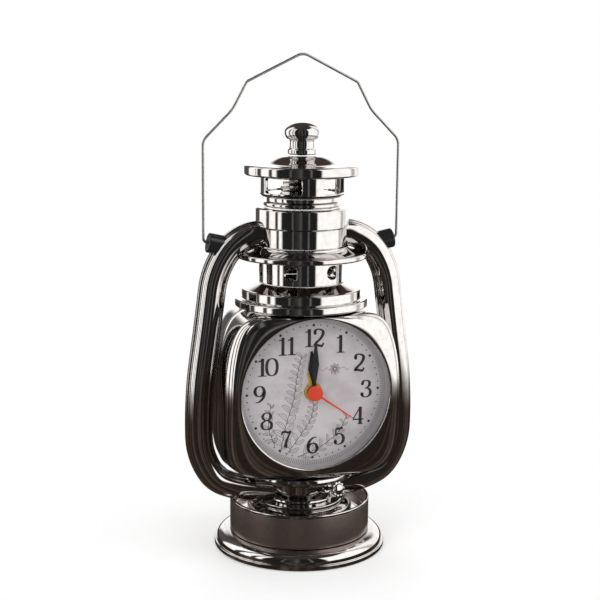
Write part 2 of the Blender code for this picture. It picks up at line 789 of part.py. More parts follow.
def housing_front(material):
    """Front shell: lipped dial opening, crowned face with a groove line, rounded edge."""
    face = HOUSING_FRONT_Y
    seam = -GAP / 2
    edge_y = face + HOUSING_CORNER_DEPTH
    top = HOUSING_TOP_WALL
    wall = HOUSING_WALL
    groove_in = FACE_MARGIN + FACE_GROOVE_WIDTH
    loops = [
        opening_loop(OPENING_RADIUS, face + FACE_LIP - GAP / 2),
        opening_loop(OPENING_RADIUS, face + LIP_ROUND - GAP),
        opening_loop(OPENING_RADIUS + LIP_ROUND, face - GAP / 2),
        housing_loop(face, groove_in, top * 2 / 3, groove_in * FACE_BOTTOM_SHARE),
        housing_loop(face + FACE_GROOVE, FACE_MARGIN + FACE_GROOVE_WIDTH / 2, top / 2,
                     (FACE_MARGIN + FACE_GROOVE_WIDTH / 2) * FACE_BOTTOM_SHARE),
        housing_loop(face, FACE_MARGIN, top / 3, FACE_MARGIN * FACE_BOTTOM_SHARE),
        housing_loop(face + FACE_CROWN, FACE_MARGIN / 2, top / 6, FACE_MARGIN * 2 / 3),
        housing_loop(face + FACE_CROWN + FACE_MARGIN / 2, FACE_MARGIN / 8, 0, FACE_MARGIN / 3),
        housing_loop(edge_y, 0, 0, 0),
        housing_loop(seam, HOUSING_SIDE_DRAFT, 0, 0),
        housing_loop(seam, HOUSING_SIDE_DRAFT + wall, top, wall),
        housing_loop(edge_y, wall, top, wall),
        housing_loop(face + FACE_CROWN + FACE_MARGIN / 2 + FACE_GROOVE, wall + FACE_MARGIN / 5, top,
                     wall + FACE_MARGIN / 5),
        housing_loop(face + FACE_LIP + FACE_GROOVE, wall + FACE_MARGIN * 2 / 3, top,
                     wall + FACE_MARGIN * 2 / 3),
    ]
    return finish(add_piece("housing_front", loft(loops, close_ends=False), material))


def housing_rear(material):
    """Rear shell with a rounded-square opening for the clock's casing."""
    seam = GAP / 2
    back = HOUSING_BACK_Y
    wall = HOUSING_WALL
    inset = HOUSING_BACK_INSET
    draft = HOUSING_SIDE_DRAFT
    half = MOVEMENT_HALF + HOUSING_OPENING_CLEARANCE
    loops = [
        housing_loop(seam, draft, 0, 0),
        housing_loop(back / 2, draft + inset / 8, 0, inset / 8),
        housing_loop(back * 4 / 5, draft + inset / 3, inset / 8, inset / 3),
        housing_loop(back - inset / 5, draft + inset * 3 / 5, inset / 4, inset * 3 / 5),
        housing_loop(back, draft + inset, inset / 2, inset),
        case_loop(half, back),
        case_loop(half, back - wall),
        housing_loop(back - wall, draft + inset + wall / 2, inset / 2 + wall / 2, inset + wall / 2),
        housing_loop(back * 3 / 4, draft + inset / 3 + wall, inset / 8 + wall, inset / 3 + wall),
        housing_loop(back / 2, draft + inset / 8 + wall, HOUSING_TOP_WALL, inset / 8 + wall),
        housing_loop(seam, draft + wall, HOUSING_TOP_WALL, wall),
    ]
    return finish(add_piece("housing_rear", loft(loops, close_ends=False), material))


def neck_rings(material):
    """Two stepped rings and a cone over the housing."""
    bevel = RING_BEVEL
    profile = [
        (RING_BORE, RING_Z),
        (RING_LOW_RADIUS - bevel, RING_Z),
        (RING_LOW_RADIUS, RING_Z + bevel),
        (RING_LOW_RADIUS, RING_MID_Z - bevel),
        (RING_LOW_RADIUS - bevel, RING_MID_Z),
        (RING_HIGH_RADIUS, RING_MID_Z + GAP),
        (RING_HIGH_RADIUS, RING_TOP_Z - bevel),
        (RING_HIGH_RADIUS - bevel, RING_TOP_Z),
        (NECK_RADIUS + GAP, RING_TOP_Z + NECK_CONE_HEIGHT),
        (RING_BORE, RING_TOP_Z + NECK_CONE_HEIGHT),
    ]
    return finish(add_piece("neck_rings", revolve(profile), material))


def turned_cutter(name, radius, reach, turn, height):
    """Cylinder tool that points out from the axis at a turn from the front."""
    tool = add_piece(name, cylinder(radius, 0, reach))
    aim = Vector((math.sin(turn), -math.cos(turn), 0))
    tool.rotation_euler = aim.to_track_quat("Z", "Y").to_euler()
    tool.location = (0, 0, height)
    return tool


def draft_neck(material):
    """Short tube with a ring of round draught holes."""
    inner = NECK_RADIUS - NECK_WALL
    profile = ((NECK_RADIUS, NECK_TOP_Z), (NECK_RADIUS, NECK_Z), (inner, NECK_Z), (inner, NECK_TOP_Z))
    piece = add_piece("draft_neck", revolve(profile), material)
    tools = []
    for i in range(NECK_HOLE_COUNT):
        turn = math.tau * (i + 0.5) / NECK_HOLE_COUNT
        tools.append(turned_cutter(f"hole_{i}", NECK_HOLE_RADIUS, NECK_RADIUS + OVERRUN, turn,
                                   NECK_Z + NECK_HOLE_LIFT))
    return finish(cut(piece, *tools))


def hood_disc(material):
    """Wide thin disc with a rim and a shallow cone up to the chimney."""
    profile = [
        (HOOD_BORE, HOOD_Z),
        (HOOD_RADIUS - RING_BEVEL / 2, HOOD_Z),
        (HOOD_RADIUS, HOOD_Z + RING_BEVEL / 2),
        (HOOD_RADIUS, HOOD_RIM_Z - RING_BEVEL / 2),
        (HOOD_RADIUS - RING_BEVEL / 2, HOOD_RIM_Z),
        (HOOD_TOP_RADIUS, HOOD_TOP_Z),
        (HOOD_BORE, HOOD_TOP_Z),
    ]
    return finish(add_piece("hood_disc", revolve(profile), material))


def chimney(material):
    """Stepped tube between the hood disc and the collar ring."""
    inner = CHIMNEY_LOW_RADIUS - CHIMNEY_WALL
    profile = [
        (CHIMNEY_RADIUS - CHIMNEY_STEP, CHIMNEY_TOP_Z),
        (CHIMNEY_RADIUS, CHIMNEY_TOP_Z - CHIMNEY_STEP),
        (CHIMNEY_RADIUS, CHIMNEY_MID_Z + CHIMNEY_STEP),
        (CHIMNEY_LOW_RADIUS, CHIMNEY_MID_Z),
        (CHIMNEY_LOW_RADIUS, CHIMNEY_Z),
        (inner, CHIMNEY_Z),
        (inner, CHIMNEY_TOP_Z - CHIMNEY_WALL),
        (COLLAR_BORE, CHIMNEY_TOP_Z - CHIMNEY_WALL),
        (COLLAR_BORE, CHIMNEY_TOP_Z),
    ]
    return finish(add_piece("chimney", revolve(profile), material))


def collar_ring(material):
    """Beaded ring with a narrow neck over the chimney."""
    bead = COLLAR_BEAD / 2
    profile = [
        (COLLAR_BORE, COLLAR_Z),
        (COLLAR_RADIUS - bead / 2, COLLAR_Z),
        (COLLAR_RADIUS, COLLAR_Z + bead / 2),
        (COLLAR_RADIUS, COLLAR_Z + bead * 3 / 2),
        (COLLAR_NECK_RADIUS, COLLAR_Z + COLLAR_BEAD),
        (COLLAR_NECK_RADIUS, COLLAR_TOP_Z),
        (COLLAR_BORE, COLLAR_TOP_Z),
    ]
    return finish(add_piece("collar_ring", revolve(profile), material))


def window_cutter(turn):
    """Rounded bar through the vent collar that cuts two windows opposite each other."""
    half = VENT_RADIUS * math.sin(WINDOW_ARC / 2)
    low = VENT_Z + WINDOW_LIFT
    outline = rounded_box(-half, half, low, low + WINDOW_HEIGHT, WINDOW_CORNER)
    reach = VENT_RADIUS + OVERRUN
    tool = add_piece("window_bar", prism([outline], -reach, reach))
    tool.rotation_euler = (math.pi / 2, 0, turn)
    return tool


def vent_collar(material):
    """Cup with a rounded foot and four see-through windows."""
    inner = VENT_RADIUS - VENT_WALL
    foot = quarter_curve((VENT_RADIUS - VENT_ROUND, VENT_Z), (VENT_RADIUS, VENT_Z + VENT_ROUND),
                         CORNER_STEPS, bulge_first=True)
    profile = [(VENT_BORE, VENT_Z)] + foot + [
        (VENT_RADIUS, VENT_TOP_Z),
        (inner, VENT_TOP_Z),
        (inner, VENT_Z + VENT_FLOOR),
        (VENT_BORE, VENT_Z + VENT_FLOOR),
    ]
    piece = add_piece("vent_collar", revolve(profile), material)
    return finish(cut(piece, window_cutter(math.pi / 4), window_cutter(-math.pi / 4)))


def cap_disc(material):
    """Wide cap with a thick rim, a low dome on top and a shallow dish below."""
    bevel = RING_BEVEL
    dome = quarter_curve((CAP_RADIUS - bevel, CAP_RIM_Z), (CAP_TOP_RADIUS, CAP_TOP_Z),
                         DOME_STEPS, bulge_first=True)
    profile = [
        (CAP_BORE, CAP_Z + CAP_WALL),
        (VENT_RADIUS - VENT_WALL, CAP_Z + CAP_WALL),
        (VENT_RADIUS - VENT_WALL, CAP_Z),
        (CAP_RADIUS - bevel, CAP_Z),
        (CAP_RADIUS, CAP_Z + bevel),
        (CAP_RADIUS, CAP_RIM_Z - bevel),
    ] + dome + [(CAP_BORE, CAP_TOP_Z)]
    return finish(add_piece("cap_disc", revolve(profile), material))


def cap_knob(material):
    """Turned button on a stem with a collar."""
    neck_z = KNOB_Z + KNOB_COLLAR_HEIGHT
    button_z = neck_z + KNOB_STEM_HEIGHT
    middle_z = button_z + KNOB_HEIGHT * 2 / 5
    top_z = button_z + KNOB_HEIGHT
    under = quarter_curve((KNOB_STEM_RADIUS, button_z), (KNOB_RADIUS, middle_z), CORNER_STEPS,
                          bulge_first=True)
    over = quarter_curve((KNOB_RADIUS, middle_z), (0, top_z), DOME_STEPS, bulge_first=False)
    profile = [
        (0, KNOB_Z),
        (KNOB_COLLAR_RADIUS, KNOB_Z),
        (KNOB_COLLAR_RADIUS, neck_z - RING_BEVEL),
        (KNOB_STEM_RADIUS, neck_z),
    ] + under + over[1:]
    return finish(add_piece("cap_knob", revolve(profile, SMALL_STEPS), material))


def tube_path(side):
    """Centre line of one air tube; its ends stay at chimney and pedestal, its bow keeps the reach."""
    rise = TUBE_HIGH_Z - TUBE_LOW_Z
    shift = TUBE_REACH - TUBE_SWING
    points = [Vector((side * (TUBE_SWING * x + shift * follow), 0, TUBE_LOW_Z + rise * z))
              for x, z, follow in TUBE_PATH_SHARES]
    return spline(points, TUBE_STEPS)


def half_arc(half_width, base, depth, steps=TUBE_ARC_STEPS):
    """Rounded raised part of the tube section, from its left foot to its right foot."""
    points = []
    for i in range(steps + 1):
        turn = math.pi * (1 - i / steps)
        points.append((half_width * math.cos(turn), base + (depth - base) * math.sin(turn) ** (2 / 3)))
    return points


def tube_half_section():
    """Open channel section of one tube half: seam flange and rounded raised part."""
    seam = GAP / 2
    top = seam + TUBE_FLANGE_THICKNESS
    outer = half_arc(TUBE_BODY, top, TUBE_DEPTH)
    inner = half_arc(TUBE_BODY - TUBE_WALL, seam, TUBE_DEPTH - TUBE_WALL, TUBE_ARC_STEPS - 1)
    return ([(-TUBE_FLANGE, seam), (-TUBE_FLANGE, top)] + outer
            + [(TUBE_FLANGE, top), (TUBE_FLANGE, seam)] + inner[::-1])


def tube_envelope_section(grow):
    """Full outer section of a tube, grown by a clearance."""
    top = GAP / 2 + TUBE_FLANGE_THICKNESS + grow
    flange = TUBE_FLANGE + grow
    outer = half_arc(TUBE_BODY + grow, top, TUBE_DEPTH + grow)
    front = [(-flange, top)] + outer + [(flange, top)]
    return front + [(u, -v) for u, v in front[::-1]]


def tube_cutters():
    """Solids round rings, chimney, hood, pedestal and drum that trim the tube ends."""
    upper = revolve((
        (0, RING_Z - GAP),
        (RING_LOW_RADIUS + GAP, RING_Z - GAP),
        (RING_LOW_RADIUS + GAP, RING_MID_Z + GAP),
        (RING_HIGH_RADIUS + GAP, RING_MID_Z + GAP * 2),
        (RING_HIGH_RADIUS + GAP, RING_TOP_Z + GAP),
        (NECK_RADIUS + GAP, NECK_Z),
        (NECK_RADIUS + GAP, HOOD_Z - GAP),
        (HOOD_RADIUS + GAP, HOOD_Z - GAP),
        (HOOD_RADIUS + GAP, HOOD_RIM_Z + GAP),
        (HOOD_TOP_RADIUS + GAP, HOOD_TOP_Z + GAP),
        (CHIMNEY_LOW_RADIUS + GAP, HOOD_TOP_Z + GAP * 2),
        (CHIMNEY_LOW_RADIUS + GAP, CHIMNEY_MID_Z - GAP),
        (CHIMNEY_RADIUS + GAP, CHIMNEY_MID_Z + CHIMNEY_STEP - GAP),
        (CHIMNEY_RADIUS + GAP, CHIMNEY_TOP_Z + GAP),
        (0, CHIMNEY_TOP_Z + GAP),
    ))
    lower = revolve([(0, PEDESTAL_Z)] + pedestal_profile(GAP) + gallery_profile(GAP)[1:]
                    + [(0, GALLERY_TOP_Z + GAP)])
    inner = DRUM_RADIUS - DRUM_WALL - GAP
    drum = revolve((
        (inner, DECK_TOP_Z),
        (DRUM_RADIUS + GAP, DECK_TOP_Z),
        (DRUM_RADIUS + GAP, DRUM_TOP_Z + GAP),
        (inner, DRUM_TOP_Z + GAP),
    ))
    return [add_piece("upper_trim", upper), add_piece("lower_trim", lower),
            add_piece("drum_trim", drum)]


def air_tube(side, half, material):
    """One half of one air tube, trimmed where it meets chimney and pedestal."""
    names = {-1: "left", 1: "right"}
    halves = {-1: "front", 1: "rear"}
    bm = sweep(tube_path(side), tube_half_section(), Vector((0, half, 0)))
    piece = add_piece(f"{names[side]}_tube_{halves[half]}", bm, material)
    return finish(cut(piece, *tube_cutters()))


def ear(side, material):
    """Round boss on a tube's shoulder with a hole for the bail's end."""
    names = {-1: "left", 1: "right"}
    bevel = EAR_ROUND
    profile = ((0, -EAR_LENGTH), (EAR_RADIUS, -EAR_LENGTH), (EAR_RADIUS, -bevel),
               (EAR_RADIUS - bevel, 0), (0, 0))
    piece = add_piece(f"{names[side]}_ear", revolve(profile, SMALL_STEPS), material)
    aim = Vector((side * math.cos(EAR_TILT), 0, math.sin(EAR_TILT)))
    turn = aim.to_track_quat("Z", "Y").to_matrix().to_4x4()
    piece.data.transform(Matrix.Translation((side * EAR_END_X, 0, PIVOT_Z)) @ turn)
    envelope = add_piece("envelope", sweep(tube_path(side), tube_envelope_section(GAP)))
    bore = add_piece("bore", cylinder(WIRE_RADIUS + WIRE_CLEARANCE, WIRE_INNER_X - GAP,
                                      BAIL_LEG_X + OVERRUN, TINY_STEPS))
    bore.data.transform(Matrix.Translation((0, 0, PIVOT_Z)) @ Matrix.Rotation(side * math.pi / 2, 4, "Y"))
    return finish(cut(piece, envelope, bore))


def bail(material):
    """Bent wire handle whose ends turn inwards into the ears; its origin is the pivot."""
    half = [
        (WIRE_INNER_X, PIVOT_Z),
        (BAIL_LEG_X, PIVOT_Z),
        (BAIL_LEG_X, BAIL_LEG_TOP_Z),
        (BAIL_SHOULDER_X, BAIL_SHOULDER_Z),
        (BAIL_CROWN_X, BAIL_CROWN_Z),
    ]
    right = [Vector((x, 0, z - PIVOT_Z)) for x, z in half]
    left = [Vector((-point.x, 0, point.z)) for point in right[::-1]]
    apex = Vector((0, 0, BAIL_APEX_Z - PIVOT_Z))
    radii = (BEND_RADIUS, SOFT_BEND_RADIUS, SOFT_BEND_RADIUS * 3, BEND_RADIUS)
    path = round_polyline(right + [apex] + left, radii + (SOFT_BEND_RADIUS,) + radii[::-1])
    piece = add_piece("bail", sweep(path, circle(WIRE_RADIUS, WIRE_STEPS)), material)
    piece.location = (0, 0, PIVOT_Z)
    return finish(piece)


def wick_aim():
    """Direction in which the wick spindle points."""
    return Vector((math.sin(WICK_AZIMUTH) * math.cos(WICK_TILT),
                   -math.cos(WICK_AZIMUTH) * math.cos(WICK_TILT), math.sin(WICK_TILT)))


def place_on_wick_axis(piece):
    """Put a piece built along Z on the wick axis, its height counted from the lamp's axis."""
    rise = WICK_WHEEL_REACH * math.tan(WICK_TILT)
    piece.rotation_euler = wick_aim().to_track_quat("Z", "Y").to_euler()
    piece.location = (0, 0, WICK_Z - rise)
    return piece


def wick_boss(material):
    """Short bored boss set into the pedestal."""
    bore = WICK_SPINDLE_RADIUS + WICK_SPINDLE_CLEARANCE
    start = WICK_BOSS_START
    end = start + WICK_BOSS_LENGTH
    profile = ((bore, start), (bore, end), (WICK_BOSS_RADIUS - EAR_ROUND, end),
               (WICK_BOSS_RADIUS, end - EAR_ROUND), (WICK_BOSS_RADIUS, start))
    piece = add_piece("wick_boss", revolve(profile, SMALL_STEPS), material)
    return finish(place_on_wick_axis(piece))


def wick_cutter():
    """Hole in the pedestal for the wick boss and its spindle's end."""
    tool = add_piece("wick_cut", cylinder(WICK_BOSS_RADIUS + GAP, WICK_BOSS_START - GAP,
                                          WICK_WHEEL_REACH))
    return place_on_wick_axis(tool)


def lobed_outline(radius, notch, lobes, points_per_lobe=4):
    """Scalloped outline of a hand wheel."""
    count = lobes * points_per_lobe
    points = []
    for i in range(count):
        turn = math.tau * i / count
        reach = radius - notch * (1 - abs(math.cos(lobes * turn / 2)))
        points.append((reach * math.cos(turn), reach * math.sin(turn)))
    return points


def wick_wheel(material):
    """Scalloped wheel with a domed hub on its spindle."""
    front = WICK_WHEEL_REACH + WICK_WHEEL_THICKNESS / 2
    outline = lobed_outline(WICK_WHEEL_RADIUS, WICK_WHEEL_NOTCH, WICK_WHEEL_LOBES)
    piece = add_piece("wick_wheel", prism([outline], front - WICK_WHEEL_THICKNESS, front), material)
    spindle = add_piece("spindle", cylinder(WICK_SPINDLE_RADIUS, WICK_SPINDLE_START,
                                            WICK_WHEEL_REACH, TINY_STEPS))
    dome = quarter_curve((WICK_HUB_RADIUS, front), (0, front + WICK_HUB_HEIGHT), CORNER_STEPS,
                         bulge_first=False)
    hub = add_piece("hub", revolve([(0, front - WICK_WHEEL_THICKNESS / 2),
                                    (WICK_HUB_RADIUS, front - WICK_WHEEL_THICKNESS / 2)] + dome,
                                   TINY_STEPS))
    join(piece, spindle, hub)
    return finish(place_on_wick_axis(piece))


def flat_top(piece):
    """Cut a round dial piece straight across under the neck rings."""
    outline = rectangle(-DIAL_RADIUS, DIAL_RADIUS, DIAL_FLAT, DIAL_RADIUS + OVERRUN)
    tool = add_piece("flat", prism([outline], DIAL_BACK - OVERRUN, LENS_FRONT + OVERRUN))
    return cut(piece, tool)


def lens(material, frame):
    """Flat clear lens behind the housing's lip."""
    piece = add_piece("lens", cylinder(LENS_RADIUS, LENS_FRONT - LENS_THICKNESS, LENS_FRONT,
                                       ROUND_STEPS), material)
    flat_top(piece).parent = frame
    return finish(piece)


def bezel_ring(material, frame):
    """Conical ring between dial and lens."""
    back = DIAL_FRONT + GAP
    front = LENS_FRONT - LENS_THICKNESS - GAP
    profile = ((BEZEL_INNER, back), (BEZEL_OUTER, back), (BEZEL_OUTER, BEZEL_SHOULDER),
               (BEZEL_FRONT_OUTER, front), (BEZEL_FRONT_INNER, front))
    piece = add_piece("bezel_ring", revolve(profile), material)
    flat_top(piece).parent = frame
    return finish(piece)


def dial(material, frame):
    """Printed dial plate."""
    profile = ((DIAL_HOLE, DIAL_BACK), (DIAL_HOLE, DIAL_FRONT), (DIAL_RADIUS, DIAL_FRONT),
               (DIAL_RADIUS, DIAL_BACK))
    piece = add_piece("dial", revolve(profile), material)
    flat_top(piece).parent = frame
    return finish(piece)


def hand_outline(length, width):
    """Ornate hand blade along +Y, from its hub to its tip."""
    right = [(width / 2 * w, length * s) for s, w in HAND_TAPER_SHARES]
    return right + [(-x, y) for x, y in right[::-1]]


def spoke_outline(length, width):
    """Plain tapered hand blade along +Y."""
    return [(width / 2, 0), (width / 4, length), (-width / 4, length), (-width / 2, 0)]


def hand(name, outline, pipe, level, material, frame):
    """Flat hand with a round hub on its pipe, turned to its place on the dial."""
    piece = add_piece(f"{name}_hand", prism([outline], level, level + HAND_THICKNESS), material)
    hub = add_piece("hub", cylinder(pipe + GAP + HUB_RIM, level, level + HAND_THICKNESS))
    bore = add_piece("bore", cylinder(pipe + GAP, level - OVERRUN, level + OVERRUN))
    join(piece, hub)
    cut(piece, bore)
    piece.data.transform(Matrix.Rotation(-HAND_ANGLES[name], 4, "Z"))
    piece.parent = frame
    return finish(piece)


def second_hand(material, frame):
    """Thin hand with a round cap that covers the arbor's end."""
    level = SECOND_HAND_LEVEL
    cap_top = level + CAP_HUB_HEIGHT
    outline = spoke_outline(SECOND_HAND_LENGTH, SECOND_HAND_WIDTH)
    piece = add_piece("second_hand", prism([outline], level, level + HAND_THICKNESS), material)
    cap = add_piece("cap", revolve(((0, level), (CAP_HUB_RADIUS, level),
                                    (CAP_HUB_RADIUS, cap_top - CAP_HUB_ROUND),
                                    (CAP_HUB_RADIUS - CAP_HUB_ROUND, cap_top), (0, cap_top)),
                                   SMALL_STEPS))
    bore = add_piece("bore", cylinder(ARBOR_RADIUS + GAP, level - OVERRUN,
                                      second_arbor_end() + GAP, TINY_STEPS))
    join(piece, cap)
    cut(piece, bore)
    piece.data.transform(Matrix.Rotation(-HAND_ANGLES["second"], 4, "Z"))
    piece.parent = frame
    return finish(piece)


def second_arbor_end():
    """Height at which the second arbor ends inside the cap."""
    return SECOND_HAND_LEVEL + CAP_HUB_HEIGHT / 2


def module_of(distance, teeth, mate):
    """Tooth size at which two wheels mesh at a distance."""
    return 2 * distance / (teeth + mate)


def tooth_outline(teeth, module, phase):
    """Pointed-tooth outline with a tooth at the phase angle."""
    pitch = teeth * module / 2
    points = []
    for i in range(teeth * 2):
        turn = phase + math.pi * i / teeth
        share = ADDENDUM_SHARE if i % 2 == 0 else -DEDENDUM_SHARE
        reach = pitch + module * share
        points.append((reach * math.cos(turn), reach * math.sin(turn)))
    return points


def mating_phase(teeth, phase, direction, mate):
    """Phase of the mate so that its gap meets the wheel's tooth on the line of centres."""
    place = (direction - phase) * teeth / math.tau % 1
    return direction + math.pi - (0.5 - place) * math.tau / mate


def at(distance, direction, start=(0, 0)):
    """Point at a distance in a direction from a start point."""
    return (start[0] + distance * math.cos(direction), start[1] + distance * math.sin(direction))


def wheel(name, gears, shaft, material, frame, place=(0, 0), bore=0):
    """Arbor or pipe with its gears; gears are (outline, rear level, thickness)."""
    radius, low, high = shaft
    steps = TINY_STEPS if bore == 0 else SMALL_STEPS
    piece = add_piece(name, cylinder(radius, low, high, steps), material)
    tools = []
    for i, (outline, level, thickness) in enumerate(gears):
        tools.append(add_piece(f"gear_{i}", prism([outline], level, level + thickness)))
    join(piece, *tools)
    if bore:
        cut(piece, add_piece("bore", cylinder(bore, low - OVERRUN, high + OVERRUN)))
    piece.location = (*place, 0)
    piece.parent = frame
    return finish(piece)


def going_train(material, magnet_material, frame):
    """Rotor to centre wheel: the train that runs the hands."""
    third_at = at(THIRD_DISTANCE, THIRD_DIRECTION)
    intermediate_at = at(INTERMEDIATE_DISTANCE, INTERMEDIATE_DIRECTION)
    rotor_at = at(ROTOR_DISTANCE, ROTOR_DIRECTION, intermediate_at)
    fine = module_of(THIRD_DISTANCE, SECOND_PINION_TEETH, THIRD_WHEEL_TEETH)
    centre = module_of(THIRD_DISTANCE, THIRD_PINION_TEETH, CENTRE_WHEEL_TEETH)
    second = module_of(INTERMEDIATE_DISTANCE, INTERMEDIATE_PINION_TEETH, SECOND_WHEEL_TEETH)
    fast = module_of(ROTOR_DISTANCE, ROTOR_PINION_TEETH, INTERMEDIATE_WHEEL_TEETH)
    third_phase = mating_phase(SECOND_PINION_TEETH, 0, THIRD_DIRECTION, THIRD_WHEEL_TEETH)
    third_pinion_phase = mating_phase(CENTRE_WHEEL_TEETH, 0, THIRD_DIRECTION, THIRD_PINION_TEETH)
    pinion_phase = mating_phase(SECOND_WHEEL_TEETH, 0, INTERMEDIATE_DIRECTION,
                                INTERMEDIATE_PINION_TEETH)
    rotor_phase = mating_phase(INTERMEDIATE_WHEEL_TEETH, 0, ROTOR_DIRECTION, ROTOR_PINION_TEETH)
    wheel("second_wheel", [
        (tooth_outline(SECOND_PINION_TEETH, fine, 0), THIRD_LEVEL, THIN_WHEEL),
        (tooth_outline(SECOND_WHEEL_TEETH, second, 0), SECOND_LEVEL, THIN_WHEEL),
    ], (ARBOR_RADIUS, ARBOR_REAR, second_arbor_end()), material, frame)
    wheel("third_wheel", [
        (tooth_outline(THIRD_WHEEL_TEETH, fine, third_phase), THIRD_LEVEL, THIN_WHEEL),
        (tooth_outline(THIRD_PINION_TEETH, centre, third_pinion_phase), CENTRE_LEVEL - GAP,
         WHEEL_THICKNESS + GAP * 2),
    ], (ARBOR_RADIUS, ARBOR_REAR, ARBOR_END), material, frame, third_at)
    wheel("centre_wheel", [
        (tooth_outline(CENTRE_WHEEL_TEETH, centre, 0), CENTRE_LEVEL, WHEEL_THICKNESS),
    ], (CENTRE_HUB, CENTRE_LEVEL - GAP, MOTION_LEVEL - GAP), material, frame, bore=MINUTE_BORE)
    wheel("intermediate_wheel", [
        (tooth_outline(INTERMEDIATE_PINION_TEETH, second, pinion_phase), SECOND_LEVEL - GAP,
         THIN_WHEEL + GAP * 2),
        (tooth_outline(INTERMEDIATE_WHEEL_TEETH, fast, 0), ROTOR_LEVEL, THIN_WHEEL),
    ], (ARBOR_RADIUS, ARBOR_REAR, CENTRE_LEVEL - GAP), material, frame, intermediate_at)
    wheel("rotor", [
        (tooth_outline(ROTOR_PINION_TEETH, fast, rotor_phase), ROTOR_LEVEL, THIN_WHEEL),
        (circle(MAGNET_RADIUS), MAGNET_LEVEL, MAGNET_THICKNESS),
    ], (ARBOR_RADIUS, ARBOR_REAR, ARBOR_END), magnet_material, frame, rotor_at)


def motion_work(material, frame):
    """Cannon pinion and pipe, motion wheel, hour wheel and alarm wheel with their pipes."""
    motion_at = at(MOTION_DISTANCE, MOTION_DIRECTION)
    cannon = module_of(MOTION_DISTANCE, CANNON_TEETH, MOTION_WHEEL_TEETH)
    hour = module_of(MOTION_DISTANCE, MOTION_PINION_TEETH, HOUR_WHEEL_TEETH)
    alarm = module_of(ALARM_DISTANCE, ALARM_PINION_TEETH, ALARM_WHEEL_TEETH)
    motion_phase = mating_phase(CANNON_TEETH, 0, MOTION_DIRECTION, MOTION_WHEEL_TEETH)
    hour_phase = mating_phase(MOTION_PINION_TEETH, 0, MOTION_DIRECTION + math.pi, HOUR_WHEEL_TEETH)
    wheel("minute_pipe", [
        (tooth_outline(CANNON_TEETH, cannon, 0), MOTION_LEVEL, CANNON_THICKNESS),
    ], (MINUTE_PIPE, MOTION_LEVEL, MINUTE_HAND_LEVEL + HAND_THICKNESS), material, frame,
          bore=MINUTE_BORE)
    wheel("motion_wheel", [
        (tooth_outline(MOTION_WHEEL_TEETH, cannon, motion_phase), MOTION_LEVEL, WHEEL_THICKNESS),
        (tooth_outline(MOTION_PINION_TEETH, hour, 0), HOUR_LEVEL - GAP, WHEEL_THICKNESS + GAP),
    ], (ARBOR_RADIUS, MOTION_LEVEL - GAP, ARBOR_END), material, frame, motion_at)
    wheel("hour_wheel", [
        (tooth_outline(HOUR_WHEEL_TEETH, hour, hour_phase), HOUR_LEVEL, WHEEL_THICKNESS),
    ], (HOUR_PIPE, HOUR_LEVEL, HOUR_HAND_LEVEL + HAND_THICKNESS), material, frame, bore=HOUR_BORE)
    wheel("alarm_wheel", [
        (tooth_outline(ALARM_WHEEL_TEETH, alarm, 0), ALARM_LEVEL, WHEEL_THICKNESS),
    ], (ALARM_PIPE, ALARM_LEVEL, ALARM_HAND_LEVEL + HAND_THICKNESS), material, frame,
          bore=ALARM_BORE)


def set_places():
    """Places of the time-setting and the alarm-setting shafts."""
    motion_at = at(MOTION_DISTANCE, MOTION_DIRECTION)
    cannon = module_of(MOTION_DISTANCE, CANNON_TEETH, MOTION_WHEEL_TEETH)
    reach = cannon * (MOTION_WHEEL_TEETH + SET_PINION_TEETH) / 2
    return at(reach, MOTION_DIRECTION, motion_at), at(ALARM_DISTANCE, ALARM_DIRECTION)


def set_knob(name, outline, level, place, material, frame):
    """Shaft with a pinion inside the movement and a fluted knob behind the case."""
    low = -CASE_BACK - GAP - KNOB_DISC_THICKNESS
    rim = lobed_outline(KNOB_DISC_RADIUS, KNOB_DISC_NOTCH, KNOB_DISC_LOBES)
    gears = [(outline, level, WHEEL_THICKNESS), (rim, low, KNOB_DISC_THICKNESS)]
    return wheel(name, gears, (SET_SHAFT_RADIUS, low + GAP, ARBOR_END), material, frame, place)


def setting_knobs(material, frame):
    """Both knobs at the back of the clock."""
    time_at, alarm_at = set_places()
    cannon = module_of(MOTION_DISTANCE, CANNON_TEETH, MOTION_WHEEL_TEETH)
    alarm = module_of(ALARM_DISTANCE, ALARM_PINION_TEETH, ALARM_WHEEL_TEETH)
    motion_phase = mating_phase(CANNON_TEETH, 0, MOTION_DIRECTION, MOTION_WHEEL_TEETH)
    time_phase = mating_phase(MOTION_WHEEL_TEETH, motion_phase, MOTION_DIRECTION, SET_PINION_TEETH)
    alarm_phase = mating_phase(ALARM_WHEEL_TEETH, 0, ALARM_DIRECTION, ALARM_PINION_TEETH)
    set_knob("time_set_knob", tooth_outline(SET_PINION_TEETH, cannon, time_phase), MOTION_LEVEL,
             time_at, material, frame)
    set_knob("alarm_set_knob", tooth_outline(ALARM_PINION_TEETH, alarm, alarm_phase), ALARM_LEVEL,
             alarm_at, material, frame)


def case_outline(half, corner):
    """Rounded-square outline of the movement's casing."""
    return rounded_box(-half, half, -half, half, corner)


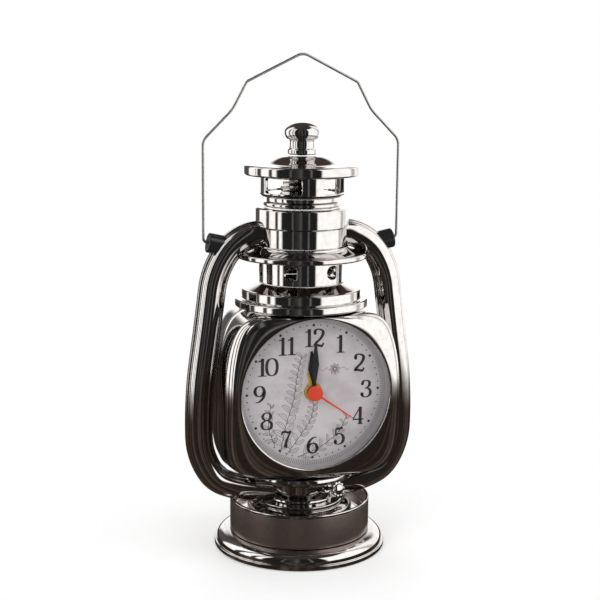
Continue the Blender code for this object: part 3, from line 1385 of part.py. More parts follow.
def movement_front(material, frame):
    """Tray with the front plate, a rim and the boss that passes through the dial."""
    outer = case_outline(MOVEMENT_HALF, MOVEMENT_CORNER)
    inner = case_outline(CASE_INNER_HALF, CASE_INNER_CORNER)
    piece = add_piece("movement_front", prism([outer], TRAY_BACK, TRAY_FRONT), material)
    hollow = add_piece("hollow", prism([inner], TRAY_BACK - OVERRUN, TRAY_FRONT - TRAY_PLATE))
    boss = add_piece("boss", cylinder(BOSS_RADIUS, TRAY_FRONT - TRAY_PLATE / 2,
                                      TRAY_FRONT + BOSS_HEIGHT))
    bore = add_piece("bore", cylinder(BOSS_BORE, TRAY_BACK, TRAY_FRONT + BOSS_HEIGHT + OVERRUN))
    cut(piece, hollow)
    join(piece, boss)
    cut(piece, bore)
    piece.parent = frame
    return finish(piece)


def movement_plate(material, frame):
    """Rear bearing plate with two holes for the setting shafts."""
    holes = [circle(SET_SHAFT_RADIUS + GAP, TINY_STEPS, place) for place in set_places()]
    outer = case_outline(MOVEMENT_HALF, MOVEMENT_CORNER)
    bm = prism([outer] + holes, PLATE_BACK, PLATE_FRONT)
    return finish(add_piece("movement_plate", bm, material, frame))


def rear_case(material, frame):
    """Cup behind the movement with battery bay, shaft holes and switch slot in its back."""
    outer = case_outline(MOVEMENT_HALF, MOVEMENT_CORNER)
    inner = case_outline(CASE_INNER_HALF, CASE_INNER_CORNER)
    piece = add_piece("rear_case", prism([outer], -CASE_BACK, CASE_FRONT), material)
    hollow = add_piece("hollow", prism([inner], CASE_INNER_BACK, CASE_FRONT + OVERRUN))
    cut(piece, hollow)
    shelf_box = rectangle(-CASE_INNER_HALF - GAP, CASE_INNER_HALF + GAP, SHELF_Y,
                          SHELF_Y + SHELF_THICKNESS)
    shelf = add_piece("shelf", prism([shelf_box], CASE_INNER_BACK - GAP,
                                     CASE_INNER_BACK + SHELF_DEPTH))
    join(piece, shelf)
    low, high = -CASE_BACK - OVERRUN, CASE_INNER_BACK + OVERRUN
    tools = []
    for i, place in enumerate(set_places()):
        tools.append(add_piece(f"shaft_{i}", prism([circle(SET_SHAFT_RADIUS + GAP, TINY_STEPS, place)],
                                                   low, high)))
    bay = rectangle(-COVER_HALF_WIDTH - GAP, COVER_HALF_WIDTH + GAP, COVER_Y - GAP,
                    COVER_Y + COVER_HEIGHT + GAP)
    tools.append(add_piece("bay", prism([bay], low, CASE_INNER_BACK + GAP / 2)))
    slot = rectangle(SWITCH_X - SHANK_LENGTH / 2 - GAP,
                     SWITCH_X + SWITCH_TRAVEL + SHANK_LENGTH / 2 + GAP,
                     SWITCH_Y - SHANK_HEIGHT / 2 - GAP, SWITCH_Y + SHANK_HEIGHT / 2 + GAP)
    tools.append(add_piece("slot", prism([slot], low, high)))
    cut(piece, *tools)
    piece.parent = frame
    return finish(piece)


def battery_cell(material, frame):
    """Round cell lying across the battery bay, button end to the right."""
    half = CELL_LENGTH / 2
    profile = ((0, -half), (CELL_RADIUS, -half), (CELL_RADIUS, half - CELL_BUTTON_LENGTH),
               (CELL_BUTTON_RADIUS, half - CELL_BUTTON_LENGTH), (CELL_BUTTON_RADIUS, half), (0, half))
    piece = add_piece("battery_cell", revolve(profile, SMALL_STEPS), material, frame)
    piece.data.transform(Matrix.Rotation(math.pi / 2, 4, "Y"))
    piece.location = (0, CELL_Y, CELL_LEVEL)
    return finish(piece)


def contact(name, side, material, frame):
    """Flat contact strip at one end of the cell, with a foot on the bay's wall."""
    near = CELL_LENGTH / 2 + GAP
    box = rectangle(min(side * near, side * (near + CONTACT_THICKNESS)),
                    max(side * near, side * (near + CONTACT_THICKNESS)),
                    CELL_Y - CONTACT_HEIGHT / 2, CELL_Y + CONTACT_HEIGHT / 2)
    bm = prism([box], CELL_LEVEL - CONTACT_DEPTH / 2, CELL_LEVEL + CONTACT_DEPTH / 2)
    return finish(add_piece(name, bm, material, frame))


def battery_cover(material, frame):
    """Cover of the battery bay; its origin is the round lower edge it tips out on."""
    radius = COVER_THICKNESS / 2
    profile = [(COVER_HEIGHT - radius, radius), (COVER_HEIGHT - radius, -radius)]
    for i in range(CORNER_STEPS + 1):
        turn = -math.pi / 2 - math.pi * i / CORNER_STEPS
        profile.append((radius * math.cos(turn), radius * math.sin(turn)))
    bm = prism([profile], -COVER_HALF_WIDTH, COVER_HALF_WIDTH)
    bmesh.ops.rotate(bm, verts=bm.verts, cent=(0, 0, 0), matrix=Matrix.Rotation(math.pi / 2, 3, "Z"))
    bmesh.ops.rotate(bm, verts=bm.verts, cent=(0, 0, 0), matrix=Matrix.Rotation(math.pi / 2, 3, "Y"))
    piece = add_piece("battery_cover", bm, material)
    grip_low = COVER_HEIGHT - radius * 2 - COVER_GRIP_HEIGHT
    box = rectangle(-COVER_GRIP_LENGTH / 2, COVER_GRIP_LENGTH / 2, grip_low,
                    grip_low + COVER_GRIP_HEIGHT)
    join(piece, add_piece("grip", prism([box], -radius - COVER_GRIP, 0)))
    piece.location = (0, COVER_Y + radius, radius - CASE_BACK)
    piece.parent = frame
    return finish(piece)


def alarm_switch(material, frame):
    """Slide with a thumb block outside, a shank through the slot and a foot inside."""
    back = -CASE_BACK - GAP
    inside = CASE_INNER_BACK + GAP

    def block(name, length, height, low, high):
        box = rectangle(-length / 2, length / 2, -height / 2, height / 2)
        return add_piece(name, prism([box], low, high))

    piece = block("alarm_switch", SWITCH_LENGTH, SWITCH_HEIGHT, back - SWITCH_RISE, back)
    piece.data.materials.append(material)
    shank = block("shank", SHANK_LENGTH, SHANK_HEIGHT, back - GAP, inside + GAP)
    foot = block("foot", SWITCH_FOOT_LENGTH, SWITCH_HEIGHT, inside, inside + SWITCH_FOOT_THICKNESS)
    join(piece, shank, foot)
    piece.location = (SWITCH_X, SWITCH_Y, 0)
    piece.parent = frame
    return finish(piece)


def electrics(material, copper, board, brass, frame):
    """Stator, coil, circuit board and buzzer."""
    intermediate_at = at(INTERMEDIATE_DISTANCE, INTERMEDIATE_DIRECTION)
    rotor_at = at(ROTOR_DISTANCE, ROTOR_DIRECTION, intermediate_at)
    level = MAGNET_LEVEL + (MAGNET_THICKNESS - STATOR_THICKNESS) / 2
    outline = rounded_box(rotor_at[0] - STATOR_HALF_WIDTH, rotor_at[0] + STATOR_HALF_WIDTH,
                          STATOR_LOW, rotor_at[1] + STATOR_TOP, EAR_ROUND)
    hole = circle(STATOR_HOLE, SMALL_STEPS, rotor_at)
    finish(add_piece("stator", prism([outline, hole], level, level + STATOR_THICKNESS), material, frame))
    half = COIL_LENGTH / 2
    flange = COIL_FLANGE_THICKNESS
    profile = ((0, -half), (COIL_FLANGE, -half), (COIL_FLANGE, -half + flange),
               (COIL_RADIUS, -half + flange), (COIL_RADIUS, half - flange),
               (COIL_FLANGE, half - flange), (COIL_FLANGE, half), (0, half))
    coil = add_piece("coil", revolve(profile, TINY_STEPS), copper, frame)
    coil.data.transform(Matrix.Rotation(math.pi / 2, 4, "Y"))
    coil.location = (COIL_CENTRE_X, COIL_Y, level - GAP - COIL_FLANGE)
    finish(coil)
    box = rounded_box(BOARD_LEFT, BOARD_RIGHT, BOARD_LOW, BOARD_HIGH, BOARD_CORNER)
    finish(add_piece("circuit_board", prism([box], BOARD_LEVEL, BOARD_LEVEL + BOARD_THICKNESS), board,
                     frame))
    low = CASE_INNER_BACK + GAP
    disc = prism([circle(BUZZER_RADIUS, SMALL_STEPS, (BUZZER_X, BUZZER_Y))], low,
                 low + BUZZER_THICKNESS)
    finish(add_piece("buzzer", disc, brass, frame))


def main():
    """Build every piece of the clock."""
    clear_scene()
    chrome = make_material("dark_chrome", (0.20, 0.19, 0.19), 0.08, 1.0)
    satin = make_material("satin_band", (0.10, 0.085, 0.075), 0.38, 1.0)
    steel = make_material("bail_steel", (0.45, 0.44, 0.43), 0.30, 1.0)
    black = make_material("black_plastic", (0.02, 0.02, 0.02), 0.45, 0.0)
    clear = make_material("clear_lens", (0.95, 0.97, 0.97), 0.02, 0.0, 0.2)
    paper = make_material("dial_print", (0.72, 0.70, 0.71), 0.6, 0.0)
    hand_black = make_material("hand_black", (0.015, 0.013, 0.015), 0.4, 0.0)
    hand_orange = make_material("hand_orange", (0.83, 0.13, 0.05), 0.4, 0.0)
    hand_yellow = make_material("hand_yellow", (0.75, 0.70, 0.10), 0.4, 0.0)
    white = make_material("white_plastic", (0.8, 0.8, 0.78), 0.5, 0.0)
    magnet = make_material("magnet", (0.12, 0.12, 0.13), 0.5, 0.6)
    iron = make_material("iron_plate", (0.5, 0.5, 0.5), 0.4, 1.0)
    copper = make_material("copper_wire", (0.72, 0.35, 0.18), 0.35, 1.0)
    board = make_material("board_green", (0.05, 0.22, 0.10), 0.5, 0.0)
    brass = make_material("brass_disc", (0.70, 0.55, 0.25), 0.35, 1.0)
    cell = make_material("cell_jacket", (0.12, 0.16, 0.24), 0.35, 0.3)

    foot_ring(chrome)
    base_plate(black)
    drum_band(satin)
    base_deck(chrome)
    pedestal(chrome, wick_cutter())
    gallery_ring(chrome)
    wick_boss(chrome)
    wick_wheel(chrome)
    for side in (-1, 1):
        for half in (-1, 1):
            air_tube(side, half, chrome)
        ear(side, chrome)
    bail(steel)
    housing_front(chrome)
    housing_rear(chrome)
    neck_rings(chrome)
    draft_neck(chrome)
    hood_disc(chrome)
    chimney(chrome)
    collar_ring(chrome)
    vent_collar(chrome)
    cap_disc(chrome)
    cap_knob(chrome)

    frame = bpy.data.objects.new("dial_frame", None)
    bpy.context.collection.objects.link(frame)
    frame.location = (0, 0, DIAL_Z)
    frame.rotation_euler = (math.pi / 2, 0, 0)
    frame.scale.x = frame.scale.y = CLOCK_FIT

    bezel_ring(black, frame)
    lens(clear, frame)
    dial(paper, frame)
    hand("alarm", spoke_outline(ALARM_HAND_LENGTH, ALARM_HAND_WIDTH), ALARM_PIPE, ALARM_HAND_LEVEL,
         hand_yellow, frame)
    hand("hour", hand_outline(HOUR_HAND_LENGTH, HOUR_HAND_WIDTH), HOUR_PIPE, HOUR_HAND_LEVEL,
         hand_black, frame)
    hand("minute", hand_outline(MINUTE_HAND_LENGTH, MINUTE_HAND_WIDTH), MINUTE_PIPE,
         MINUTE_HAND_LEVEL, hand_black, frame)
    second_hand(hand_orange, frame)
    movement_front(black, frame)
    movement_plate(black, frame)
    rear_case(black, frame)
    going_train(white, magnet, frame)
    motion_work(white, frame)
    setting_knobs(black, frame)
    electrics(iron, copper, board, brass, frame)
    battery_cell(cell, frame)
    contact("positive_contact", 1, iron, frame)
    contact("negative_contact", -1, iron, frame)
    battery_cover(black, frame)
    alarm_switch(black, frame)
    bpy.context.view_layer.update()


main()
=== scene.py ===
"""Dressed model of a lantern-shaped quartz alarm clock.

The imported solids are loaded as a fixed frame, and every piece that shows is drawn over its solid
as a fine surface worked out with numpy: turned profiles, channels carried along a bent line, and
rounded-square shells. Lengths are in metres, +Z is up and the front looks towards -Y.
"""

from __future__ import annotations

import json
import logging
import math
from dataclasses import dataclass, field
from enum import Enum
from typing import Sequence

import bpy
import numpy as np
from mathutils import Matrix, Vector

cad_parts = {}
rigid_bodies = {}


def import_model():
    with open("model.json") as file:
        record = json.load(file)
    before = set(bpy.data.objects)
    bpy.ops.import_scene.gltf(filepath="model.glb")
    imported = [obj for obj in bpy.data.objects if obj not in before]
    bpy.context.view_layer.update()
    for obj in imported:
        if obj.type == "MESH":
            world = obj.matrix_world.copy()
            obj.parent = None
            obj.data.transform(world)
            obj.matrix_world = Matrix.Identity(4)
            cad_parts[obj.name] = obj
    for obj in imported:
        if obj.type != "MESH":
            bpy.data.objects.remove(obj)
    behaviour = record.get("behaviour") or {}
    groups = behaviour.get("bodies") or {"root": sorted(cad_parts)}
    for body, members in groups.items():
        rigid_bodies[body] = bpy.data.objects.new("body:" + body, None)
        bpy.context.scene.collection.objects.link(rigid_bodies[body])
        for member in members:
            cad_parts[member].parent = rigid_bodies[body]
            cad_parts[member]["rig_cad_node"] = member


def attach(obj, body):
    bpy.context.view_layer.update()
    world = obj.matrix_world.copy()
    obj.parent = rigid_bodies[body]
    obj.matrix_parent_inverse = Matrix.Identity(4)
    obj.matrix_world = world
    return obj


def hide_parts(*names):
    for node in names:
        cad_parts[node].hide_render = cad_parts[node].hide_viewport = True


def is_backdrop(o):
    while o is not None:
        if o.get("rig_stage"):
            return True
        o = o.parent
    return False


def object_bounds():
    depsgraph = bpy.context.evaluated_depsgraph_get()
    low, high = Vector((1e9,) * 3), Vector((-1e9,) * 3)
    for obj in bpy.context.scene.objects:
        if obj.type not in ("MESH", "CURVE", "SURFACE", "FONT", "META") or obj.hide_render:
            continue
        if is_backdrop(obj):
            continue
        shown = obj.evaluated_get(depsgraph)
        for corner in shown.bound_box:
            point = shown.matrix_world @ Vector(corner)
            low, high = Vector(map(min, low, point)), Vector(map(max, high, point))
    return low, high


LOG = logging.getLogger("lantern_clock")
Array = np.ndarray
Pair = tuple[float, float]
Colour = tuple[float, float, float]
Socket = bpy.types.NodeSocket

# Gap between pieces that meet, height of the dial's middle, and the two main directions.
GAP = 0.0003
DIAL_Z = 0.0776
UP = np.array((0.0, 0.0, 1.0))
FRONT = np.array((0.0, -1.0, 0.0))
# Distance within which two points count as one.
SAME_POINT = 2e-7
# Body that carries a piece for which no other is named.
FOLLOW = "lantern"


# Curves and surfaces

def unit(vectors: Array) -> Array:
    """Vectors scaled to length one along their last axis; a null vector stays null."""
    lengths = np.linalg.norm(vectors, axis=-1, keepdims=True)
    return vectors / np.where(lengths > 1e-12, lengths, 1.0)


def thinned(points: Array) -> Array:
    """Points of a line without those that lie on the one before."""
    step = np.linalg.norm(np.diff(points, axis=0), axis=1)
    return points[np.concatenate(([True], step > SAME_POINT))]


def rounded(corners: Sequence[Sequence[float]], radius: float | Sequence[float],
            closed: bool = True, steps: int = 6) -> Array:
    """Line through corners, each corner replaced by an arc.

    With b and a the unit vectors back and ahead and h half the angle between them, the arc starts
    r / tan(h) before the corner and has its centre r / sin(h) away along the bisector.

    Args:
        corners: Corners of the line, two or three numbers each.
        radius: One radius for all corners, or one for each.
        closed: Whether the last corner joins the first.
        steps: Pieces of each arc.

    Returns:
        Points of the line; a closed line ends with its first point.
    """
    c = np.asarray(corners, float)
    before, after = np.roll(c, 1, axis=0) - c, np.roll(c, -1, axis=0) - c
    back, ahead = unit(before), unit(after)
    room = 0.49 * np.minimum(np.linalg.norm(before, axis=1), np.linalg.norm(after, axis=1))
    half = np.arccos(np.clip((back * ahead).sum(axis=1), -1, 1)) / 2
    r = np.minimum(np.broadcast_to(np.asarray(radius, float), len(c)), room * np.tan(half))
    straight = half > math.radians(89.9)
    r = np.where(straight | (r < 1e-7), 0.0, r)
    if not closed:
        r[0] = r[-1] = 0.0
    safe = np.maximum(half, 1e-6)
    middle = c + unit(back + ahead) * (r / np.sin(safe))[:, None]
    reach = (r / np.tan(safe))[:, None]
    first, last = c + back * reach - middle, c + ahead * reach - middle
    t = np.linspace(0, 1, steps + 1)[None, :, None]
    bend = np.where(r > 0, math.pi - 2 * half, 1.0)[:, None, None]
    arcs = np.sin((1 - t) * bend) * first[:, None] + np.sin(t * bend) * last[:, None]
    arcs = np.where((r > 0)[:, None, None], arcs / np.sin(bend), 0.0)
    points = (middle[:, None] + arcs).reshape(-1, c.shape[1])
    if closed:
        points = np.vstack((points, points[:1]))
    return thinned(points)


def oblong(width: float, height: float, corner: float, steps: int = 5) -> Array:
    """Closed outline of a rectangle with rounded corners, from the middle of its right side."""
    w, h = width / 2, height / 2
    return rounded([(w, 0), (w, h), (-w, h), (-w, -h), (w, -h)], [0] + [corner] * 4, steps=steps)


def circle(radius: float | Array, turn: Array) -> Array:
    """Flat points (r cos t, r sin t)."""
    return np.stack((radius * np.cos(turn), radius * np.sin(turn)), axis=-1)


def quarter(start: Pair, end: Pair, bulge_first: bool, steps: int = 14) -> Array:
    """Quarter ellipse between two points: start + (end - start) (sin t, 1 - cos t).

    Args:
        start: Its first (radius, height).
        end: Its last (radius, height).
        bulge_first: Whether it leaves along the radius; otherwise it leaves along the height.
        steps: Pieces of the curve.

    Returns:
        Points from start to end.
    """
    t = np.linspace(0, math.pi / 2, steps + 1)
    along, across = np.sin(t), 1 - np.cos(t)
    if not bulge_first:
        along, across = across, along
    return np.stack(
        (start[0] + (end[0] - start[0]) * along, start[1] + (end[1] - start[1]) * across), axis=1)


def smooth_line(points: Sequence[Sequence[float]], count: int, closed: bool = False) -> Array:
    """Points on the smooth curve through the given ones.

    Between two points the curve is the cubic that leaves each along the chord of its neighbours.

    Args:
        points: Points that the curve passes.
        count: Number of points wanted.
        closed: Whether the curve returns to its start.

    Returns:
        An array of count points.
    """
    p = np.asarray(points, float)
    if closed:
        ends = np.vstack((p[-1:], p, p[:2]))
        spans = len(p)
    else:
        ends = np.vstack((2 * p[:1] - p[1:2], p, 2 * p[-1:] - p[-2:-1]))
        spans = len(p) - 1
    place = np.linspace(0, spans, count)
    k = np.minimum(place.astype(int), spans - 1)
    t = (place - k)[:, None]
    a, b, c, d = ends[k], ends[k + 1], ends[k + 2], ends[k + 3]
    return (2 * b + (c - a) * t + (2 * a - 5 * b + 4 * c - d) * t ** 2
            + (3 * b - a - 3 * c + d) * t ** 3) / 2


def evened(points: Array, count: int, soften: float = 0.0) -> Array:
    """A line dealt into equal steps, with small waves in it averaged out.

    Args:
        points: Points of the line.
        count: Number of points wanted.
        soften: Length over which the line is averaged; 0 leaves it as it is.

    Returns:
        An array of count points with the same ends.
    """
    length = np.concatenate(([0], np.cumsum(np.linalg.norm(np.diff(points, axis=0), axis=1))))
    place = np.linspace(0, length[-1], count)
    line = np.stack([np.interp(place, length, points[:, k]) for k in range(points.shape[1])],
                    axis=1)
    if soften:
        spread = np.exp(-0.5 * ((place[:, None] - place[None, :]) / soften) ** 2)
        flat = (spread / spread.sum(axis=1, keepdims=True)) @ line
        ends = np.minimum(place, place[-1] - place)[:, None] / (3 * soften)
        line = line + (flat - line) * np.clip(ends, 0, 1) ** 2
    return line


def slopes(points: Array, axis: int, wrap: bool) -> Array:
    """Central differences of a lattice along one axis.

    Args:
        points: Lattice of points.
        axis: Axis along which the differences run.
        wrap: Whether the last line on that axis repeats the first.

    Returns:
        An array of the same shape.
    """
    p = np.moveaxis(points, axis, 0)
    if wrap:
        core = p[:-1]
        d = np.roll(core, -1, axis=0) - np.roll(core, 1, axis=0)
        d = np.concatenate((d, d[:1]))
    else:
        d = np.concatenate((p[1:2] - p[:1], p[2:] - p[:-2], p[-1:] - p[-2:-1]))
    return np.moveaxis(d, 0, axis)


def beside(line: Array, closed: bool) -> Array:
    """Unit vectors to the left of a flat line, square to its slope."""
    along = unit(slopes(line, 0, closed))
    return np.stack((-along[:, 1], along[:, 0]), axis=1)


def off_wall(points: Array, radius: float) -> Array:
    """Level unit vectors away from a thin upright wall: out where r > radius, else in."""
    reach = np.hypot(points[..., :1], points[..., 1:2])
    return unit(points * (1, 1, 0)) * np.sign(reach - radius)


def aimed(origin: Sequence[float], direction: Sequence[float]) -> Matrix:
    """Matrix that carries +Z at the origin to a line through a point."""
    turn = Vector(direction).to_track_quat("Z", "Y").to_matrix().to_4x4()
    return Matrix.Translation(origin) @ turn


@dataclass
class Patch:
    """A lattice of points with a normal at each; its normals point out of the solid."""

    points: Array
    normals: Array

    @classmethod
    def over(cls, points: Array, wrap_rows: bool = False, wrap_columns: bool = False) -> Patch:
        """Patch whose normals are the cross products of the lattice's two slopes.

        Args:
            points: Lattice of rows by columns by three.
            wrap_rows: Whether the last row repeats the first.
            wrap_columns: Whether the last column repeats the first.

        Returns:
            The patch; a row drawn together to one point takes the mean normal of its neighbour.
        """
        normals = unit(np.cross(slopes(points, 1, wrap_columns), slopes(points, 0, wrap_rows)))
        for row, beside in ((0, 1), (-1, -2)):
            if np.ptp(points[row], axis=0).max() < 1e-7:
                normals[row] = unit(normals[beside].mean(axis=0))
        return cls(points, normals)

    def turned_over(self) -> Patch:
        """The same lattice seen from its other side."""
        return Patch(self.points[:, ::-1], -self.normals[:, ::-1])

    def facing(self, direction: Array) -> Patch:
        """The patch, turned over if its winding looks against a direction.

        Args:
            direction: One vector, or one for each point.

        Returns:
            The patch, with every normal on the side of its direction.
        """
        p = self.points
        across = np.cross(p[:-1, 1:] - p[:-1, :-1], p[1:, :-1] - p[:-1, :-1])
        across = across + np.cross(p[1:, :-1] - p[1:, 1:], p[:-1, 1:] - p[1:, 1:])
        wanted = np.broadcast_to(direction, p.shape)
        if (across * wanted[:-1, :-1]).sum() < 0:
            return self.turned_over().facing(wanted[:, ::-1])
        against = (self.normals * direction).sum(-1, keepdims=True) < 0
        return Patch(p, np.where(against, -self.normals, self.normals))

    def moved(self, matrix: Matrix) -> Patch:
        """The patch carried by a rigid matrix."""
        m = np.array(matrix)
        return Patch(self.points @ m[:3, :3].T + m[:3, 3], self.normals @ m[:3, :3].T)


def turned(profile: Array, steps: int = 128, wrap: bool = True) -> Patch:
    """Surface of revolution: x = r cos t, y = r sin t, z = h for each (r, h) of the profile."""
    t = np.linspace(0, math.tau, steps + 1)
    r, h = profile[:, :1], profile[:, 1:]
    points = np.stack((r * np.cos(t), r * np.sin(t), np.broadcast_to(h, (len(r), len(t)))), axis=-1)
    return Patch.over(points, wrap_rows=wrap, wrap_columns=True)


def carried(path: Array, across: Array, section: Array) -> Patch:
    """Closed section carried along a path in the plane square to across.

    With T the path's direction, a point is path + u (T x across) + v across for each (u, v).

    Args:
        path: Points of the path.
        across: Unit vector square to the path's plane.
        section: Closed line of (u, v).

    Returns:
        The side surface, without its two ends.
    """
    along = unit(slopes(path, 0, False))
    side = unit(np.cross(along, across))
    points = (path[:, None] + side[:, None] * section[None, :, :1] + across * section[None, :, 1:])
    return Patch.over(points, wrap_columns=True)


def closed_ends(patch: Patch) -> list[Patch]:
    """A tube-like patch with both its ends filled by flat fans.

    Args:
        patch: Side surface, whose first and last rows are closed rims.

    Returns:
        The patch and its two fans.
    """
    fans = []
    for row, beyond in ((0, 1), (-1, -2)):
        rim, middle = patch.points[row], patch.points[row, :-1].mean(axis=0)
        out = unit(middle - patch.points[beyond, :-1].mean(axis=0))
        points = np.stack((rim, np.broadcast_to(middle, rim.shape)))
        fans.append(Patch(points, np.broadcast_to(out, points.shape).copy()).facing(out))
    return [patch] + fans


def slab(outline: Array, low: float, high: float, edge: float) -> list[Patch]:
    """Flat plate over a star-shaped outline, with its rims rounded over.

    Args:
        outline: Closed line of (x, y) round the origin.
        low: Height of the lower face.
        high: Height of the upper face.
        edge: Radius of the rounding at both rims.

    Returns:
        Patches of the closed plate, with z as its height.
    """
    t = np.linspace(0, math.pi / 2, 5)
    inset = np.concatenate((edge * (1 - np.sin(t)), edge * (1 - np.cos(t))))
    height = np.concatenate((low + edge * (1 - np.cos(t)), high - edge * (1 - np.sin(t))))
    out = -beside(outline, True)
    if (out * outline).sum() < 0:
        out = -out
    flat = outline[None] - out[None] * inset[:, None, None]
    level = flat.shape[:2] + (1,)
    rows = np.concatenate((flat, np.broadcast_to(height[:, None, None], level)), axis=2)
    away = np.concatenate((np.broadcast_to(out, flat.shape), np.zeros(level)), axis=2)
    side = Patch.over(rows, wrap_columns=True).facing(away)
    patches = [side]
    for row, out_z in ((rows[0], -1.0), (rows[-1], 1.0)):
        centre = np.broadcast_to(np.array((0, 0, row[0, 2])), row.shape)
        points = np.stack((row, centre))
        normals = np.broadcast_to(UP * out_z, points.shape).copy()
        patches.append(Patch(points, normals).facing(UP * out_z))
    return patches


@dataclass
class Shell:
    """Patches that make up one piece, welded where they meet."""

    name: str
    patches: list[Patch] = field(default_factory=list)

    def corners(self) -> tuple[Array, Array]:
        """Corner points and corner normals of all quads, in arrays of quads by four by three."""
        points, normals = [], []
        for patch in self.patches:
            for source, store in ((patch.points, points), (patch.normals, normals)):
                quads = np.stack(
                    (source[:-1, :-1], source[:-1, 1:], source[1:, 1:], source[1:, :-1]), axis=2)
                store.append(quads.reshape(-1, 4, 3))
        return np.concatenate(points), np.concatenate(normals)

    def mesh(self, flip_by_volume: bool = True) -> bpy.types.Mesh:
        """Welded mesh with the patches' own normals.

        Equal points become one vertex, a quad with two equal corners becomes a triangle, and
        the whole shell is turned over if its signed volume is negative.

        Args:
            flip_by_volume: Whether the shell may be turned over by its volume's sign.

        Returns:
            The new mesh.
        """
        points, normals = self.corners()
        keys = np.round(points.reshape(-1, 3) / SAME_POINT).astype(np.int64)
        _, first, index = np.unique(keys, axis=0, return_index=True, return_inverse=True)
        vertices = points.reshape(-1, 3)[first]
        index = index.reshape(-1, 4)
        same = index == np.roll(index, -1, axis=1)
        kinds = [(np.arange(4), ~same.any(axis=1))]
        for k in range(4):
            keep = np.delete(np.arange(4), k)
            kinds.append((keep, same[:, k] & (same.sum(axis=1) == 1)))
        loops, loop_normals, sizes = [], [], []
        for keep, mask in kinds:
            loops.append(index[mask][:, keep].ravel())
            loop_normals.append(normals[mask][:, keep].reshape(-1, 3))
            sizes.append(np.full(mask.sum(), len(keep)))
        loops, loop_normals = np.concatenate(loops), np.concatenate(loop_normals)
        sizes = np.concatenate(sizes)
        starts = np.concatenate(([0], np.cumsum(sizes)[:-1]))
        a, b = vertices[loops[starts]], vertices[loops[starts + 1]]
        c, d = vertices[loops[starts + 2]], vertices[loops[starts + sizes - 1]]
        centre = vertices.mean(axis=0)
        volume = (np.cross(b - centre, c - centre) * (a - centre)).sum()
        volume += (np.cross(c - centre, d - centre) * (a - centre)).sum()
        if flip_by_volume and volume < 0:
            order = np.concatenate([np.arange(s + n - 1, s - 1, -1) for s, n in zip(starts, sizes)])
            loops, loop_normals = loops[order], -loop_normals[order]
        mesh = bpy.data.meshes.new(self.name)
        mesh.vertices.add(len(vertices))
        mesh.loops.add(len(loops))
        mesh.polygons.add(len(sizes))
        mesh.vertices.foreach_set("co", vertices.ravel())
        mesh.loops.foreach_set("vertex_index", loops.astype(np.int32))
        mesh.polygons.foreach_set("loop_start", starts.astype(np.int32))
        mesh.polygons.foreach_set("loop_total", sizes.astype(np.int32))
        mesh.polygons.foreach_set("use_smooth", np.ones(len(sizes), bool))
        mesh.update(calc_edges=True)
        mesh.normals_split_custom_set(unit(loop_normals))
        return mesh

    def piece(self, finish: Finish, body: str = FOLLOW,
              replaces: Sequence[str] = ()) -> bpy.types.Object:
        """Object of the shell, dressed, riding on a body and standing for its solids.

        Args:
            finish: Finish that the piece wears.
            body: Body that carries it.
            replaces: Solids that it stands for.

        Returns:
            The new object.
        """
        obj = bpy.data.objects.new(self.name, self.mesh())
        bpy.context.scene.collection.objects.link(obj)
        obj.data.materials.append(finish.material())
        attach(obj, body)
        if replaces:
            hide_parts(*replaces)
        LOG.info("piece %s: %d faces on %s", self.name, len(obj.data.polygons), body)
        return obj


# Finishes

